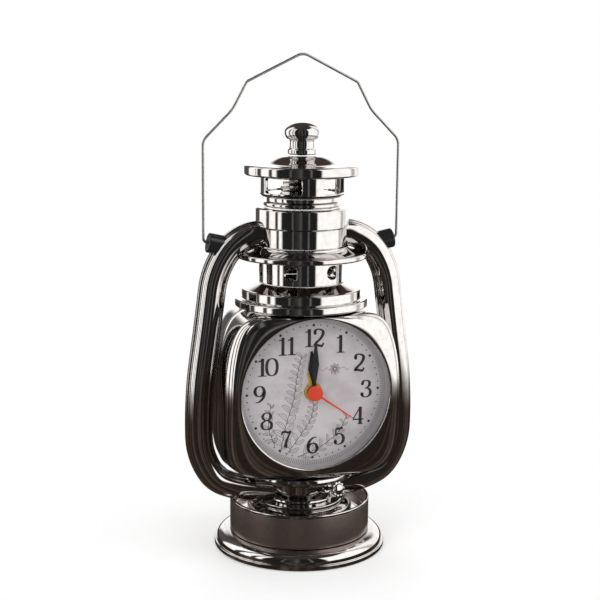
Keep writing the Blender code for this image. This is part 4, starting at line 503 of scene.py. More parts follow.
class NodeDesk:
    """Short way to place and join shader nodes in one tree."""

    def __init__(self, tree: bpy.types.NodeTree) -> None:
        """Start on an emptied tree."""
        tree.nodes.clear()
        self.tree = tree

    def put(self, socket: Socket, value: object) -> None:
        """Link a socket to another one, or give it a value."""
        if isinstance(value, Socket):
            self.tree.links.new(value, socket)
        else:
            socket.default_value = value

    def add(self, kind: str, **settings: object) -> bpy.types.Node:
        """Place a node.

        Args:
            kind: Node type without the ShaderNode prefix.
            **settings: Attributes by name; a name that starts with in_ sets or links a socket,
                with _ for a blank and a number for a socket's place.

        Returns:
            The node.
        """
        node = self.tree.nodes.new("ShaderNode" + kind)
        for key, value in settings.items():
            if key.startswith("in_"):
                label = key[3:]
                self.put(node.inputs[int(label) if label.isdigit() else label.replace("_", " ")],
                         value)
            else:
                setattr(node, key, value)
        return node

    def math(self, operation: str, first: object, second: object = 0.0, third: object = 0.0,
             clamp: bool = False) -> Socket:
        """Result of a Math node on numbers or sockets."""
        node = self.add("Math", operation=operation, use_clamp=clamp, in_0=first, in_1=second,
                        in_2=third)
        return node.outputs[0]

    def times(self, first: object, second: object) -> Socket:
        """Product of two numbers or sockets."""
        return self.math("MULTIPLY", first, second)

    def reach(self, x: Socket, y: Socket) -> Socket:
        """Length of (x, y)."""
        return self.math("SQRT", self.math("ADD", self.times(x, x), self.times(y, y)))

    def spread(self, value: Socket, low: float, high: float, to_low: float = 0.0,
               to_high: float = 1.0) -> Socket:
        """A value's range from low to high, mapped smoothly to another range."""
        node = self.add("MapRange", interpolation_type="SMOOTHSTEP", in_Value=value,
                        in_From_Min=low, in_From_Max=high, in_To_Min=to_low, in_To_Max=to_high)
        return node.outputs["Result"]

    def ramp(self, value: Socket, stops: Sequence[tuple[float, Colour]]) -> Socket:
        """Colour of a ramp with linear steps between its stops.

        Args:
            value: Place on the ramp, from 0 to 1.
            stops: Places and their colours.

        Returns:
            The colour.
        """
        node = self.add("ValToRGB", in_Fac=value)
        elements = node.color_ramp.elements
        while len(elements) < len(stops):
            elements.new(0.5)
        for element, (place, colour) in zip(elements, stops):
            element.position = place
            element.color = (*colour, 1.0)
        return node.outputs["Color"]

    def mix(self, share: object, first: object, second: object) -> Socket:
        """Blend of two colours.

        Args:
            share: Share of the second colour.
            first: Socket or three numbers.
            second: Socket or three numbers.

        Returns:
            The colour.
        """
        node = self.add("Mix", data_type="RGBA")
        for label, value in (("Factor_Float", share), ("A_Color", first), ("B_Color", second)):
            socket = next(s for s in node.inputs if s.identifier == label)
            self.put(socket, (*value, 1.0) if isinstance(value, tuple) else value)
        return next(s for s in node.outputs if s.identifier == "Result_Color")

    def noise(self, place: Socket, scale: float, detail: float = 4.0,
              roughness: float = 0.5) -> Socket:
        """Noise at a place, about 0.5 in the middle."""
        node = self.add("TexNoise", in_Vector=place, in_Scale=scale, in_Detail=detail,
                        in_Roughness=roughness)
        return node.outputs[0]

    def stretched(self, place: Socket, scale: Sequence[float],
                  centre: Sequence[float] = (0, 0, 0)) -> Socket:
        """A place centred and stretched along its axes."""
        moved = self.add("VectorMath", operation="SUBTRACT", in_0=place,
                         in_1=tuple(centre)).outputs[0]
        return self.add("VectorMath", operation="MULTIPLY", in_0=moved,
                        in_1=tuple(scale)).outputs[0]

    def split(self, place: Socket) -> tuple[Socket, Socket, Socket]:
        """The three coordinates of a place."""
        return tuple(self.add("SeparateXYZ", in_Vector=place).outputs)

    def bump(self, strength: float, distance: float, height: Socket) -> Socket:
        """Normal over a low relief."""
        node = self.add("Bump", in_Strength=strength, in_Distance=distance, in_Height=height)
        return node.outputs[0]

    def surface(self, colour: object, rough: object, **settings: object) -> Socket:
        """Principled shader of a colour and roughness, with other sockets by name."""
        node = self.add("BsdfPrincipled", in_Base_Color=colour, in_Roughness=rough, **settings)
        return node.outputs[0]

    def blend(self, share: object, first: Socket, second: Socket) -> Socket:
        """Two shaders mixed by the share of the second."""
        return self.add("MixShader", in_Fac=share, in_1=first, in_2=second).outputs[0]

    def mirrored(self, path: bpy.types.Node) -> Socket:
        """One for rays that come by a mirror or through clear plastic, otherwise nil."""
        return self.math("MAXIMUM", path.outputs["Is Glossy Ray"],
                         path.outputs["Is Transmission Ray"])


@dataclass(frozen=True)
class Finish:
    """A finish by name, with the name of a slot in the record."""

    name: str
    slot: str

    def material(self) -> bpy.types.Material:
        """The finish's material, made once."""
        found = bpy.data.materials.get(self.name)
        if found:
            return found
        made = bpy.data.materials.new(self.name)
        made.use_nodes = True
        desk = NodeDesk(made.node_tree)
        place = desk.add("TexCoord").outputs["Object"]
        shader = self.shade(desk, place)
        desk.add("OutputMaterial", in_Surface=shader)
        return made

    def shade(self, desk: NodeDesk, place: Socket) -> Socket:
        """Lay the finish's nodes and return its shader socket."""
        raise NotImplementedError(self.name)


@dataclass(frozen=True)
class PlatedChrome(Finish):
    """Dark chrome plating on moulded plastic: a mirror with faint waves and hazy patches."""

    colour: Colour = (0.62, 0.60, 0.59)
    film_share: float = 0.86
    haze: Pair = (0.025, 0.075)
    wave: float = 0.00002

    def shade(self, desk: NodeDesk, place: Socket) -> Socket:
        """Mirror whose roughness drifts, with long low waves and a fine film in the colour.

        Args:
            desk: Desk of the material.
            place: Point of the surface.

        Returns:
            The shader.
        """
        patches = desk.noise(place, 55.0, 5.0, 0.6)
        rough = desk.spread(patches, 0.3, 0.75, *self.haze)
        film = desk.noise(place, 420.0, 3.0, 0.55)
        dark = tuple(self.film_share * c for c in self.colour)
        colour = desk.mix(desk.spread(film, 0.35, 0.7), self.colour, dark)
        waves = desk.noise(place, 90.0, 2.0, 0.4)
        return desk.surface(
            colour, rough, in_Metallic=1.0, in_Normal=desk.bump(0.35, self.wave, waves))


@dataclass(frozen=True)
class SatinBand(Finish):
    """Dark plating with fine upright brushing, as on the tank's band."""

    colour: Colour = (0.25, 0.205, 0.18)
    light_share: float = 1.25
    roughness: Pair = (0.28, 0.34)
    metallic: float = 0.88

    def shade(self, desk: NodeDesk, place: Socket) -> Socket:
        """Metal whose roughness and colour change in narrow upright streaks.

        Args:
            desk: Desk of the material.
            place: Point of the surface.

        Returns:
            The shader.
        """
        x, y, z = desk.split(place)
        turn = desk.math("ARCTAN2", y, x)
        wrapped = desk.add("CombineXYZ", in_X=desk.math("SINE", turn),
                           in_Y=desk.math("COSINE", turn), in_Z=desk.times(z, 12.0)).outputs[0]
        streaks = desk.noise(wrapped, 60.0, 2.0, 0.5)
        clouds = desk.noise(wrapped, 3.0, 3.0, 0.5)
        tone = desk.math("MULTIPLY_ADD", streaks, 0.55, desk.times(clouds, 0.45))
        light = tuple(self.light_share * c for c in self.colour)
        colour = desk.mix(desk.spread(tone, 0.35, 0.68), self.colour, light)
        rough = desk.spread(streaks, 0.3, 0.75, *self.roughness)
        bump = desk.bump(0.03, 0.000002, streaks)
        return desk.surface(colour, rough, in_Metallic=self.metallic, in_Normal=bump)


class Grain(Enum):
    """Kinds of small pattern on a plain finish."""

    SPECKLE = "speckle"
    BRUSHED = "brushed"
    WOUND = "wound"
    TRACES = "traces"
    BANDED = "banded"


@dataclass(frozen=True)
class GrainedFinish(Finish):
    """Plastic, paint or metal with one kind of small pattern."""

    colour: Colour
    second: Colour
    roughness: Pair
    scale: float
    depth: float
    metallic: float = 0.0
    grain: Grain = Grain.SPECKLE

    def pattern(self, desk: NodeDesk, place: Socket) -> Socket:
        """Height of the pattern.

        Args:
            desk: Desk of the material.
            place: Point of the surface.

        Returns:
            The height, from 0 to 1.
        """
        if self.grain is Grain.BRUSHED:
            return desk.noise(desk.stretched(place, (1, 1, 0.06)), self.scale, 5.0, 0.6)
        if self.grain is Grain.WOUND:
            wave = desk.add("TexWave", wave_type="BANDS", bands_direction="X", in_Vector=place,
                            in_Scale=self.scale, in_Distortion=0.6, in_Detail=1.0)
            return wave.outputs["Fac"]
        if self.grain is Grain.TRACES:
            cells = desk.add("TexVoronoi", distance="MANHATTAN", feature="F1", in_Vector=place,
                             in_Scale=self.scale)
            return desk.spread(cells.outputs["Distance"], 0.30, 0.36)
        if self.grain is Grain.BANDED:
            return desk.spread(desk.split(place)[0], 0.0120, 0.0122)
        return desk.noise(place, self.scale, 6.0, 0.62)

    def shade(self, desk: NodeDesk, place: Socket) -> Socket:
        """Two colours and a low relief by the pattern, with slow drift in the roughness.

        Args:
            desk: Desk of the material.
            place: Point of the surface.

        Returns:
            The shader.
        """
        height = self.pattern(desk, place)
        drift = desk.noise(place, 60.0, 4.0, 0.55)
        colour = desk.mix(height, self.colour, self.second)
        rough = desk.spread(drift, 0.3, 0.7, *self.roughness)
        return desk.surface(
            colour, rough, in_Metallic=self.metallic, in_Normal=desk.bump(0.5, self.depth, height))


@dataclass(frozen=True)
class ClearSheet(Finish):
    """Thin clear plastic sheet: see-through, with the gloss of its surface and faint rub marks."""

    def shade(self, desk: NodeDesk, place: Socket) -> Socket:
        """White mirror whose alpha is 0.035 + 0.9 facing^5, with fine scuffs in the roughness.

        Args:
            desk: Desk of the material.
            place: Point of the surface.

        Returns:
            The shader.
        """
        facing = desk.add("LayerWeight", in_Blend=0.5).outputs["Facing"]
        gloss = desk.math("MULTIPLY_ADD", desk.math("POWER", facing, 5.0), 0.9, 0.035)
        scuff = desk.noise(desk.stretched(place, (1, 1, 0.4)), 300.0, 5.0, 0.7)
        share = desk.math("ADD", gloss, desk.spread(scuff, 0.62, 0.80, 0.012, 0.03), clamp=True)
        rough = desk.spread(scuff, 0.4, 0.8, 0.02, 0.10)
        return desk.surface((1, 1, 1, 1), rough, in_Metallic=1.0, in_Alpha=share)


@dataclass(frozen=True)
class DialPaper(Finish):
    """Printed dial: lilac-grey paper with soft clouds, a fine hatched track at its edge, and
    painted shade that darkens the paper towards its lower right edge.
    """

    paper: Colour = (0.74, 0.70, 0.715)
    cloud: Colour = (0.60, 0.56, 0.585)
    ink: Colour = (0.20, 0.185, 0.21)
    track: Pair = (0.0317, 0.0341)
    track_edge: float = 0.0001
    hatches: int = 240

    def shade(self, desk: NodeDesk, place: Socket) -> Socket:
        """Paper colour by noise and by the turn round the dial's middle, with painted shade that
        darkens the paper towards its lower right edge.

        Args:
            desk: Desk of the material.
            place: Point of the surface.

        Returns:
            The shader.
        """
        x, _, z = desk.split(desk.stretched(place, (1, 1, 1), (0, 0, DIAL_Z)))
        reach, turn = desk.reach(x, z), desk.math("ARCTAN2", z, x)
        clouds = desk.noise(desk.stretched(place, (1.0, 1.0, 1.5)), 62.0, 6.0, 0.58)
        grain = desk.noise(place, 2600.0, 3.0, 0.7)
        base = desk.mix(desk.spread(clouds, 0.42, 0.72), self.paper, self.cloud)
        # Painted shade: lean grows towards the lower right, where the paper darkens near its edge;
        # the hatch is also drawn stronger on that side.
        lean = desk.math("MULTIPLY_ADD", x, 14.0, desk.times(z, -9.0))
        edge = desk.times(
            desk.spread(lean, 0.10, 0.75), desk.spread(reach, 0.018, 0.036, 0.0, 0.55))
        # Painted shade: a darker cloud colour laid over the lower right edge of the paper.
        base = desk.mix(edge, base, tuple(0.72 * c for c in self.cloud))
        base = desk.mix(desk.spread(grain, 0.5, 0.8, 0.0, 0.16), base, self.ink)
        lines = desk.math("SINE", desk.times(turn, float(self.hatches)))
        (low, high), soft = self.track, self.track_edge
        band = desk.times(desk.spread(reach, low - soft, low + soft),
                          desk.spread(reach, high - soft, high + soft, 1.0, 0.0))
        hatch = desk.times(band, desk.spread(lines, -0.2, 0.6, 0.0, 0.75))
        hatch = desk.times(hatch, desk.spread(lean, -0.55, 0.45, 0.45, 1.0))
        colour = desk.mix(hatch, base, self.ink)
        return desk.surface(colour, 0.55, in_Normal=desk.bump(0.2, 0.00001, grain))


CHROME = PlatedChrome("dark_chrome_plating", "dark_chrome")
BAND = SatinBand("satin_tank_band", "satin_band")
LENS = ClearSheet("clear_lens_sheet", "clear_lens")
PAPER = DialPaper("printed_dial_paper", "dial_print")
WIRE = GrainedFinish("drawn_wire", "bail_steel", (0.50, 0.49, 0.47), (0.42, 0.41, 0.395),
                     (0.36, 0.46), 120.0, 0.000001, 1.0, Grain.BRUSHED)
BLACK = GrainedFinish("black_moulding", "black_plastic", (0.018, 0.018, 0.019),
                      (0.026, 0.026, 0.027), (0.32, 0.46), 1800.0, 0.00002)
GLOSS_BLACK = GrainedFinish("gloss_black_boss", "black_plastic", (0.012, 0.012, 0.013),
                            (0.02, 0.02, 0.021), (0.10, 0.2), 900.0, 0.000006)
INK = GrainedFinish("numeral_ink", "hand_black", (0.022, 0.020, 0.024), (0.045, 0.042, 0.048),
                    (0.42, 0.55), 2400.0, 0.000003)
PALE_INK = GrainedFinish("pale_ink", "dial_print", (0.060, 0.056, 0.062), (0.13, 0.12, 0.135),
                         (0.5, 0.6), 2400.0, 0.000003)
HAND_BLACK = GrainedFinish("black_hand_enamel", "hand_black", (0.016, 0.015, 0.017),
                           (0.028, 0.027, 0.03), (0.30, 0.42), 1600.0, 0.000004)
HAND_ORANGE = GrainedFinish("orange_hand_enamel", "hand_orange", (0.86, 0.075, 0.03),
                            (0.78, 0.06, 0.025), (0.28, 0.4), 1400.0, 0.000004)
HAND_YELLOW = GrainedFinish("yellow_hand_enamel", "hand_yellow", (0.72, 0.47, 0.02),
                            (0.64, 0.40, 0.018), (0.3, 0.42), 1400.0, 0.000004)
WHITE_MOULD = GrainedFinish("white_moulding", "white_plastic", (0.78, 0.77, 0.74),
                            (0.72, 0.71, 0.68), (0.35, 0.5), 1200.0, 0.00001)
MAGNET = GrainedFinish("sintered_magnet", "magnet", (0.045, 0.044, 0.043), (0.07, 0.068, 0.066),
                       (0.45, 0.6), 2600.0, 0.00002, 0.3)
IRON = GrainedFinish("rolled_iron_plate", "iron_plate", (0.36, 0.35, 0.34), (0.28, 0.27, 0.26),
                     (0.3, 0.45), 1300.0, 0.00001, 1.0, Grain.BRUSHED)
COPPER = GrainedFinish("wound_copper", "copper_wire", (0.72, 0.27, 0.10), (0.40, 0.13, 0.05),
                       (0.25, 0.36), 1400.0, 0.00005, 1.0, Grain.WOUND)
BOARD = GrainedFinish("etched_board", "board_green", (0.02, 0.12, 0.04), (0.06, 0.24, 0.09),
                      (0.3, 0.4), 420.0, 0.00002, 0.0, Grain.TRACES)
BRASS = GrainedFinish("pressed_brass", "brass_disc", (0.70, 0.50, 0.20), (0.58, 0.40, 0.15),
                      (0.22, 0.36), 700.0, 0.00001, 1.0)
JACKET = GrainedFinish("two_tone_cell_jacket", "cell_jacket", (0.02, 0.022, 0.025),
                       (0.60, 0.34, 0.10), (0.2, 0.3), 1.0, 0.0, 0.55, Grain.BANDED)

# Finishes of the solids that have no piece drawn over them; any other one is black.
INNER_FINISHES: dict[str, Finish] = {
    **dict.fromkeys(
        ("movement_front", "movement_plate", "intermediate_wheel", "second_wheel", "third_wheel",
         "centre_wheel", "minute_pipe", "motion_wheel", "hour_wheel", "alarm_wheel"), WHITE_MOULD),
    **dict.fromkeys(("stator", "positive_contact", "negative_contact"), IRON), "rotor": MAGNET,
    "coil": COPPER, "circuit_board": BOARD, "buzzer": BRASS, "battery_cell": JACKET,}


# What the sub-assemblies share

class SubAssembly:
    """Group of pieces; its build_ methods run in the order in which they are written."""

    def build(self) -> None:
        """Run every build_ method of the class."""
        for name, step in vars(type(self)).items():
            if name.startswith("build_"):
                step(self)


def lathe(name: str, profile: Array, replaces: str = "", finish: Finish = CHROME, steps: int = 192,
          wrap: bool = True) -> None:
    """Turn a profile about Z and dress it as one piece.

    Args:
        name: Name of the piece.
        profile: Closed line of (radius, height), or an open one that ends on the axis.
        replaces: Solid that it stands for, if any.
        finish: Finish that it wears.
        steps: Steps of a whole turn.
        wrap: Whether the profile is closed.
    """
    shell = Shell(name, [turned(thinned(profile), steps, wrap)])
    shell.piece(finish, replaces=[replaces] if replaces else [])


# Foot, tank band and pedestal

@dataclass
class TankBase(SubAssembly):
    """Foot ring, satin band, mirror deck, turned pedestal and the rolled ring over it."""

    foot_radius: float = 0.0399
    foot_height: float = 0.0070
    foot_lip: float = 0.0020
    foot_step: float = 0.0011
    foot_wall: float = 0.0040
    band_radius: float = 0.0326
    band_low: float = 0.0073
    band_top: float = 0.0229
    band_wall: float = 0.0015
    band_rim: float = 0.00055
    ledge_drop: float = 0.0018
    ledge_reach: float = 0.002
    deck_top: float = 0.0171
    deck_thickness: float = 0.0015
    pedestal_foot: float = 0.0245
    flange_radius: float = 0.0205
    flange_rise: float = 0.0036
    flange_edge: float = 0.0016
    neck_radius: float = 0.0156
    waist_radius: float = 0.0150
    bore: float = 0.0060
    ring_radius: float = 0.0250
    ring_dish: float = 0.0225
    ring_low: float = 0.0330
    ring_top: float = 0.0372

    def build_foot(self) -> None:
        """Foot: a quarter-ellipse flare from the band down to a step, a fillet and a lip."""
        top, lip, r = self.foot_height, self.foot_lip, self.foot_radius
        inner = self.band_radius + GAP
        bore, lip_bore = inner - self.foot_wall, r - self.foot_wall
        shoulder = (r - self.foot_step, lip + self.foot_step)
        slope = quarter((inner, top), shoulder, True, 24)
        lower = rounded([tuple(slope[-2]), shoulder, (shoulder[0] + 0.0002, lip), (r, lip), (r, 0),
                         (lip_bore, 0), (lip_bore, lip + self.foot_step / 2), (bore, top - 0.0018),
                         (bore, top)], [0, 0.0002, 0.0003, 0.0004, 0.0004, 0.0002, 0, 0, 0], False)
        lathe("foot_flare", np.vstack(([(bore, top)], slope[:-1], lower[1:])), "foot_ring")

    def build_band(self) -> None:
        """Band: an upright wall whose top rim is rolled over, with the ledge inside."""
        r, low, top, rim = self.band_radius, self.band_low, self.band_top, self.band_rim
        inner = r - self.band_wall
        ledge, ledge_top = inner - self.ledge_reach, self.deck_top - self.ledge_drop
        ledge_low = ledge_top - self.ledge_drop
        wall = rounded([(r, top - 0.0014), (r, low), (inner, low), (inner, ledge_low),
                        (ledge, ledge_low), (ledge, ledge_top), (inner, ledge_top),
                        (inner, top - 0.0014)], [0, 0.0002, 0.0002, 0, 0, 0, 0, 0])
        lathe("tank_band", wall, "drum_band", BAND)
        roll = rounded([(r, top - 0.0013), (r, top), (inner, top), (inner, top - 0.0013)],
                       [0.0001, rim, rim, 0.0001])
        lathe("tank_rim", roll)

    def build_deck(self) -> None:
        """Deck: a flat mirror ring with a shallow rolled groove near its edge."""
        r, top = self.band_radius - self.band_wall - GAP, self.deck_top
        low = top - self.deck_thickness
        profile = rounded(
            [(self.bore, top), (r - 0.0016, top), (r - 0.0011, top - 0.00035), (r - 0.0006, top),
             (r, top), (r, low), (self.bore, low)], [0, 0.0004, 0.0003, 0.0004, 0.0002, 0.0002, 0])
        lathe("tank_deck", profile, "base_deck", steps=160)

    def build_pedestal(self) -> None:
        """Pedestal: hollow flare, rounded flange and a waisted neck up to the ring."""
        foot, r, neck, bore = self.pedestal_foot, self.flange_radius, self.neck_radius, self.bore
        low, top = self.deck_top + GAP, self.ring_low - GAP
        flange = low + self.flange_rise
        brink = flange + self.flange_edge
        flare = quarter((foot, low + 0.0006), (r, flange - GAP), False, 12)
        waist = quarter((neck, flange + 0.0019), (self.waist_radius, top), True, 8)
        edge = rounded([tuple(flare[-2]), (r - 0.0004, flange - GAP), (r, flange), (r, brink),
                        (neck + 0.0003, brink + GAP / 2), tuple(waist[0])],
                       [0, 0.0001, 0.0002, 0.0006, 0.0004, 0], False)
        profile = np.vstack(([(foot, low)], flare[:-1], edge[1:], waist[1:],
                             [(bore, top), (bore, low), (foot, low)]))
        lathe("turned_pedestal", profile, "pedestal", steps=160)

    def build_ring(self) -> None:
        """Ring: a rolled lip, half round outside, dished towards the body above."""
        r, low, top, bore = self.ring_radius, self.ring_low, self.ring_top, self.bore
        profile = rounded(
            [(self.waist_radius, low), (r - 0.0030, low), (r - 0.0004, low + 0.0008),
             (r, low + 0.0021), (r - 0.0003, top - 0.0003), (self.ring_dish, top), (bore, top),
             (bore, low)], [0, 0.0008, 0.0009, 0.0016, 0.0010, 0.0004, 0, 0], steps=9)
        lathe("rolled_ring", profile, "gallery_ring", steps=160)


# Neck, hood, chimney, vent and cap

@dataclass
class PiercedTube:
    """Thin tube with a row of equal holes, every hole worked into a cell of the wall.

    A cell is a rectangle of turn and height. Its points go from the hole's edge to the cell's
    edge along straight lines in that plane, and are then rolled round the tube.
    """

    outer: float
    inner: float
    low: float
    high: float
    count: int
    first_turn: float
    hole_width: float
    hole_height: float
    hole_middle: float
    corner: float
    per_side: int = 14
    rows: int = 6
    bevel: float = 0.00025

    @property
    def steps(self) -> int:
        """Steps of a whole turn round the wall."""
        return self.count * 2 * self.per_side

    def cell_edge(self) -> Array:
        """Closed line round a cell, in metres along the wall and up, from its right middle."""
        half = math.pi * self.outer / self.count
        n = self.per_side
        across = np.linspace(-half, half, 2 * n + 1)
        low, high = self.low - self.hole_middle, self.high - self.hole_middle
        up = np.concatenate((np.linspace(low, 0, n + 1), np.linspace(0, high, n + 1)[1:]))
        right = np.stack((np.full(n, half), up[n:-1]), axis=1)
        top = np.stack((across[::-1][:-1], np.full(2 * n, high)), axis=1)
        left = np.stack((np.full(2 * n, -half), up[::-1][:-1]), axis=1)
        bottom = np.stack((across[:-1], np.full(2 * n, low)), axis=1)
        rest = np.stack((np.full(n + 1, half), up[:n + 1]), axis=1)
        return np.vstack((right, top, left, bottom, rest))

    def hole_edge(self, grow: float) -> Array:
        """Closed line of a hole's edge, dealt like the cell's edge.

        Args:
            grow: Distance by which the line stands off from the edge.

        Returns:
            Points along the wall and up, from the right middle.
        """
        corner = min(self.corner, self.hole_width / 2, self.hole_height / 2)
        line = oblong(self.hole_width, self.hole_height, corner, 12)
        line = evened(line, self.per_side * 8 + 1)
        return line - beside(line, True) * grow

    def rolled(self, flat: Array, radius: Array, turn: float) -> Array:
        """Points (s, h) along the wall rolled to (radius, turn + s / outer radius, height)."""
        t = turn + flat[..., 0] / self.outer
        return np.stack((radius * np.sin(t), -radius * np.cos(t), self.hole_middle + flat[..., 1]),
                        axis=-1)

    def patches(self) -> list[Patch]:
        """All patches of the wall: both skins, and the rounded edge and wall of every hole.

        Returns:
            Three patches for each hole.
        """
        found = []
        share = (np.linspace(0, 1, self.rows + 1) ** 1.3)[:, None, None]
        outer_flat, inner_flat = (self.hole_edge(grow)[None] * (1 - share)
                                  + self.cell_edge()[None] * share for grow in (self.bevel, 0.0))
        a = np.linspace(0, math.pi / 2, 5)
        grown = np.concatenate((self.bevel * (1 - np.sin(a)), [0.0]))
        reach = np.concatenate((self.outer - self.bevel * (1 - np.cos(a)), [self.inner]))
        wall_flat = np.stack([self.hole_edge(grow) for grow in grown])
        for k in range(self.count):
            turn = self.first_turn + math.tau * k / self.count
            for flat, radius, sign in (
                    (outer_flat, self.outer, 1.0), (inner_flat, self.inner, -1.0)):
                points = self.rolled(flat, np.full(flat.shape[:2], radius), turn)
                out = unit(points * (1, 1, 0)) * sign
                found.append(Patch(points, out).facing(out))
            points = self.rolled(wall_flat, reach[:, None] * np.ones(wall_flat.shape[:2]), turn)
            centre = self.rolled(np.zeros(2), np.array(self.outer), turn)
            found.append(Patch.over(points, wrap_columns=True).facing(centre - points))
        return found


@dataclass
class LanternTop(SubAssembly):
    """Everything turned above the body: rings, pierced neck, hood, chimney, vent and cap."""

    ring_z: float = 0.1137
    ring_low_radius: float = 0.0305
    ring_high_radius: float = 0.0274
    ring_mid_z: float = 0.1173
    ring_top_z: float = 0.1216
    neck_radius: float = 0.0194
    neck_wall: float = 0.0016
    neck_bore: float = 0.0140
    neck_z: float = 0.1248
    neck_top: float = 0.1355
    neck_rim: float = 0.0004
    holes: int = 6
    hole_radius: float = 0.0030
    hole_rise: float = 0.0056
    hood_z: float = 0.1358
    hood_radius: float = 0.0300
    hood_rim_z: float = 0.1384
    hood_top_z: float = 0.1412
    hood_seat: float = 0.0212
    chimney_z: float = 0.1415
    chimney_low: float = 0.0203
    chimney_radius: float = 0.0213
    chimney_wall: float = 0.0018
    chimney_bore: float = 0.0100
    chimney_mid_z: float = 0.1498
    chimney_top: float = 0.1588
    collar_z: float = 0.1591
    collar_bead: float = 0.0177
    collar_neck: float = 0.0163
    collar_height: float = 0.0041
    vent_z: float = 0.1635
    vent_radius: float = 0.01905
    vent_wall: float = 0.0015
    vent_bore: float = 0.0060
    vent_top: float = 0.1728
    windows: int = 4
    window_turn: float = math.radians(60)
    window_height: float = 0.0066
    window_corner: float = 0.0012
    cap_z: float = 0.1731
    cap_rim: float = 0.0047
    cap_brim: float = 0.0195
    cap_seat: float = 0.0068
    cap_radius: float = 0.0266
    cap_bore: float = 0.0030
    cap_dish: float = 0.01755
    cap_top: float = 0.1818
    knob_z: float = 0.1821
    knob_radius: float = 0.00825
    knob_height: float = 0.0146

    def build_rings(self) -> None:
        """Two stepped rings with rolled edges and a shallow cone up to the neck."""
        lo, hi, bore = self.ring_low_radius, self.ring_high_radius, self.neck_bore
        low, mid, top, cone = self.ring_z, self.ring_mid_z, self.ring_top_z, self.neck_z - GAP
        profile = rounded(
            [(bore, low), (lo, low), (lo, mid), (hi + 0.0010, mid), (hi, mid + 0.0004), (hi, top),
             (hi - 0.0012, top + 0.0002), (self.neck_radius + 0.0003, cone), (bore, cone)],
            [0, 0.0007, 0.0010, 0.0004, 0.0004, 0.0009, 0.0004, 0.0003, 0], steps=8)
        lathe("stepped_rings", profile, "neck_rings")

    def build_neck(self) -> None:
        """Short tube with six round draught holes and rounded rims."""
        r, width = self.hole_radius, 2 * self.hole_radius
        tube = PiercedTube(
            self.neck_radius, self.neck_radius - self.neck_wall, self.neck_z + self.neck_rim,
            self.neck_top - self.neck_rim, self.holes, math.radians(30), width, width,
            self.neck_z + self.hole_rise, r, per_side=8)
        rims = []
        for z, end in ((tube.low, self.neck_z), (tube.high, self.neck_top)):
            rim = rounded([(tube.outer, z), (tube.outer, end), (tube.inner, end), (tube.inner, z)],
                          [0, 0.0003, 0.0003, 0], False)
            patch = turned(rim, tube.steps, wrap=False)
            away = off_wall(patch.points, (tube.outer + tube.inner) / 2)
            rims.append(patch.facing(away + UP * (1 if end > z else -1)))
        Shell("pierced_neck", tube.patches() + rims).piece(CHROME, replaces=["draft_neck"])

    def build_hood(self) -> None:
        """Wide thin disc with a rounded rim and a hollow cone up to the chimney."""
        r, bore = self.hood_radius, self.neck_bore
        low, rim, top = self.hood_z, self.hood_rim_z, self.hood_top_z
        cone = quarter((r - 0.0012, rim), (self.hood_seat, top), True, 16)[1:]
        edge = rounded([(bore, low), (r, low), (r, rim), tuple(cone[0])], [0, 0.0008, 0.0011, 0],
                       False, 8)
        lathe("hood_plate", np.vstack((edge, cone[1:], [(bore, top), (bore, low)])), "hood_disc")

    def build_chimney(self) -> None:
        """Stepped tube: a lower barrel, a rolled step out and the upper barrel."""
        lo, hi = self.chimney_low, self.chimney_radius
        wall, bore = self.chimney_wall, self.chimney_bore
        low, mid, top = self.chimney_z, self.chimney_mid_z, self.chimney_top
        profile = rounded([(hi - 0.0007, top), (hi, top - 0.0007), (hi, mid + 0.0005),
                           (hi - 0.0005, mid), (lo, mid - 0.0001), (lo, low), (lo - wall, low),
                           (lo - wall, top - wall), (bore, top - wall), (bore, top)],
                          [0.0005, 0.0006, 0.0004, 0.0004, 0.0002, 0.0002, 0, 0, 0, 0], steps=7)
        lathe("chimney_barrel", profile, "chimney")

    def build_collar(self) -> None:
        """Half-round bead with a narrow neck over it."""
        z, r, neck, bore = self.collar_z, self.collar_bead, self.collar_neck, self.chimney_bore
        top = z + self.collar_height
        profile = rounded([(bore, z), (0.0172, z), (r, z + 0.0006), (r, z + 0.0018),
                           (0.0170, z + 0.0022), (neck, z + 0.0024), (neck, top), (bore, top)],
                          [0, 0.0005, 0.0008, 0.0008, 0.0004, 0.0005, 0.0001, 0], steps=8)
        lathe("beaded_collar", profile, "collar_ring", steps=160)

    def build_vent(self) -> None:
        """Cup with a rounded foot and four windows with rounded corners."""
        z, r, top, bore = self.vent_z, self.vent_radius, self.vent_top, self.vent_bore
        inner, floor = r - self.vent_wall, z + 0.0015
        tube = PiercedTube(r, inner, z + 0.0018, top - 0.0002, self.windows, math.radians(45),
                           r * self.window_turn, self.window_height, z + 0.0021 + 0.0033,
                           self.window_corner, per_side=16, bevel=0.0002)
        foot = quarter((r - 0.0013, z), (r, z + 0.0013), True, 10)
        inside = rounded([(inner, tube.low), (inner, floor), (bore, floor), (bore, z),
                          tuple(foot[0])], [0, 0.0002, 0, 0, 0], False)
        cup = np.vstack((inside, foot[1:], [(r, z + 0.00155), (r, tube.low)]))
        rim = rounded([(r, tube.high), (r, top), (inner, top), (inner, tube.high)],
                      [0, 0.0001, 0.0001, 0], False)
        lower, upper = (turned(thinned(line), tube.steps, wrap=False) for line in (cup, rim))
        level = np.where(lower.points[..., 2:] > z + 0.0016, 1.0, 0.0)
        hint = off_wall(lower.points, r - self.vent_wall / 2) * level
        hint = hint + (1 - level) * UP * np.sign(lower.points[..., 2:] - (z + 0.0009))
        patches = tube.patches() + [lower.facing(hint), upper.facing(UP)]
        Shell("windowed_vent", patches).piece(CHROME, replaces=["vent_collar"])

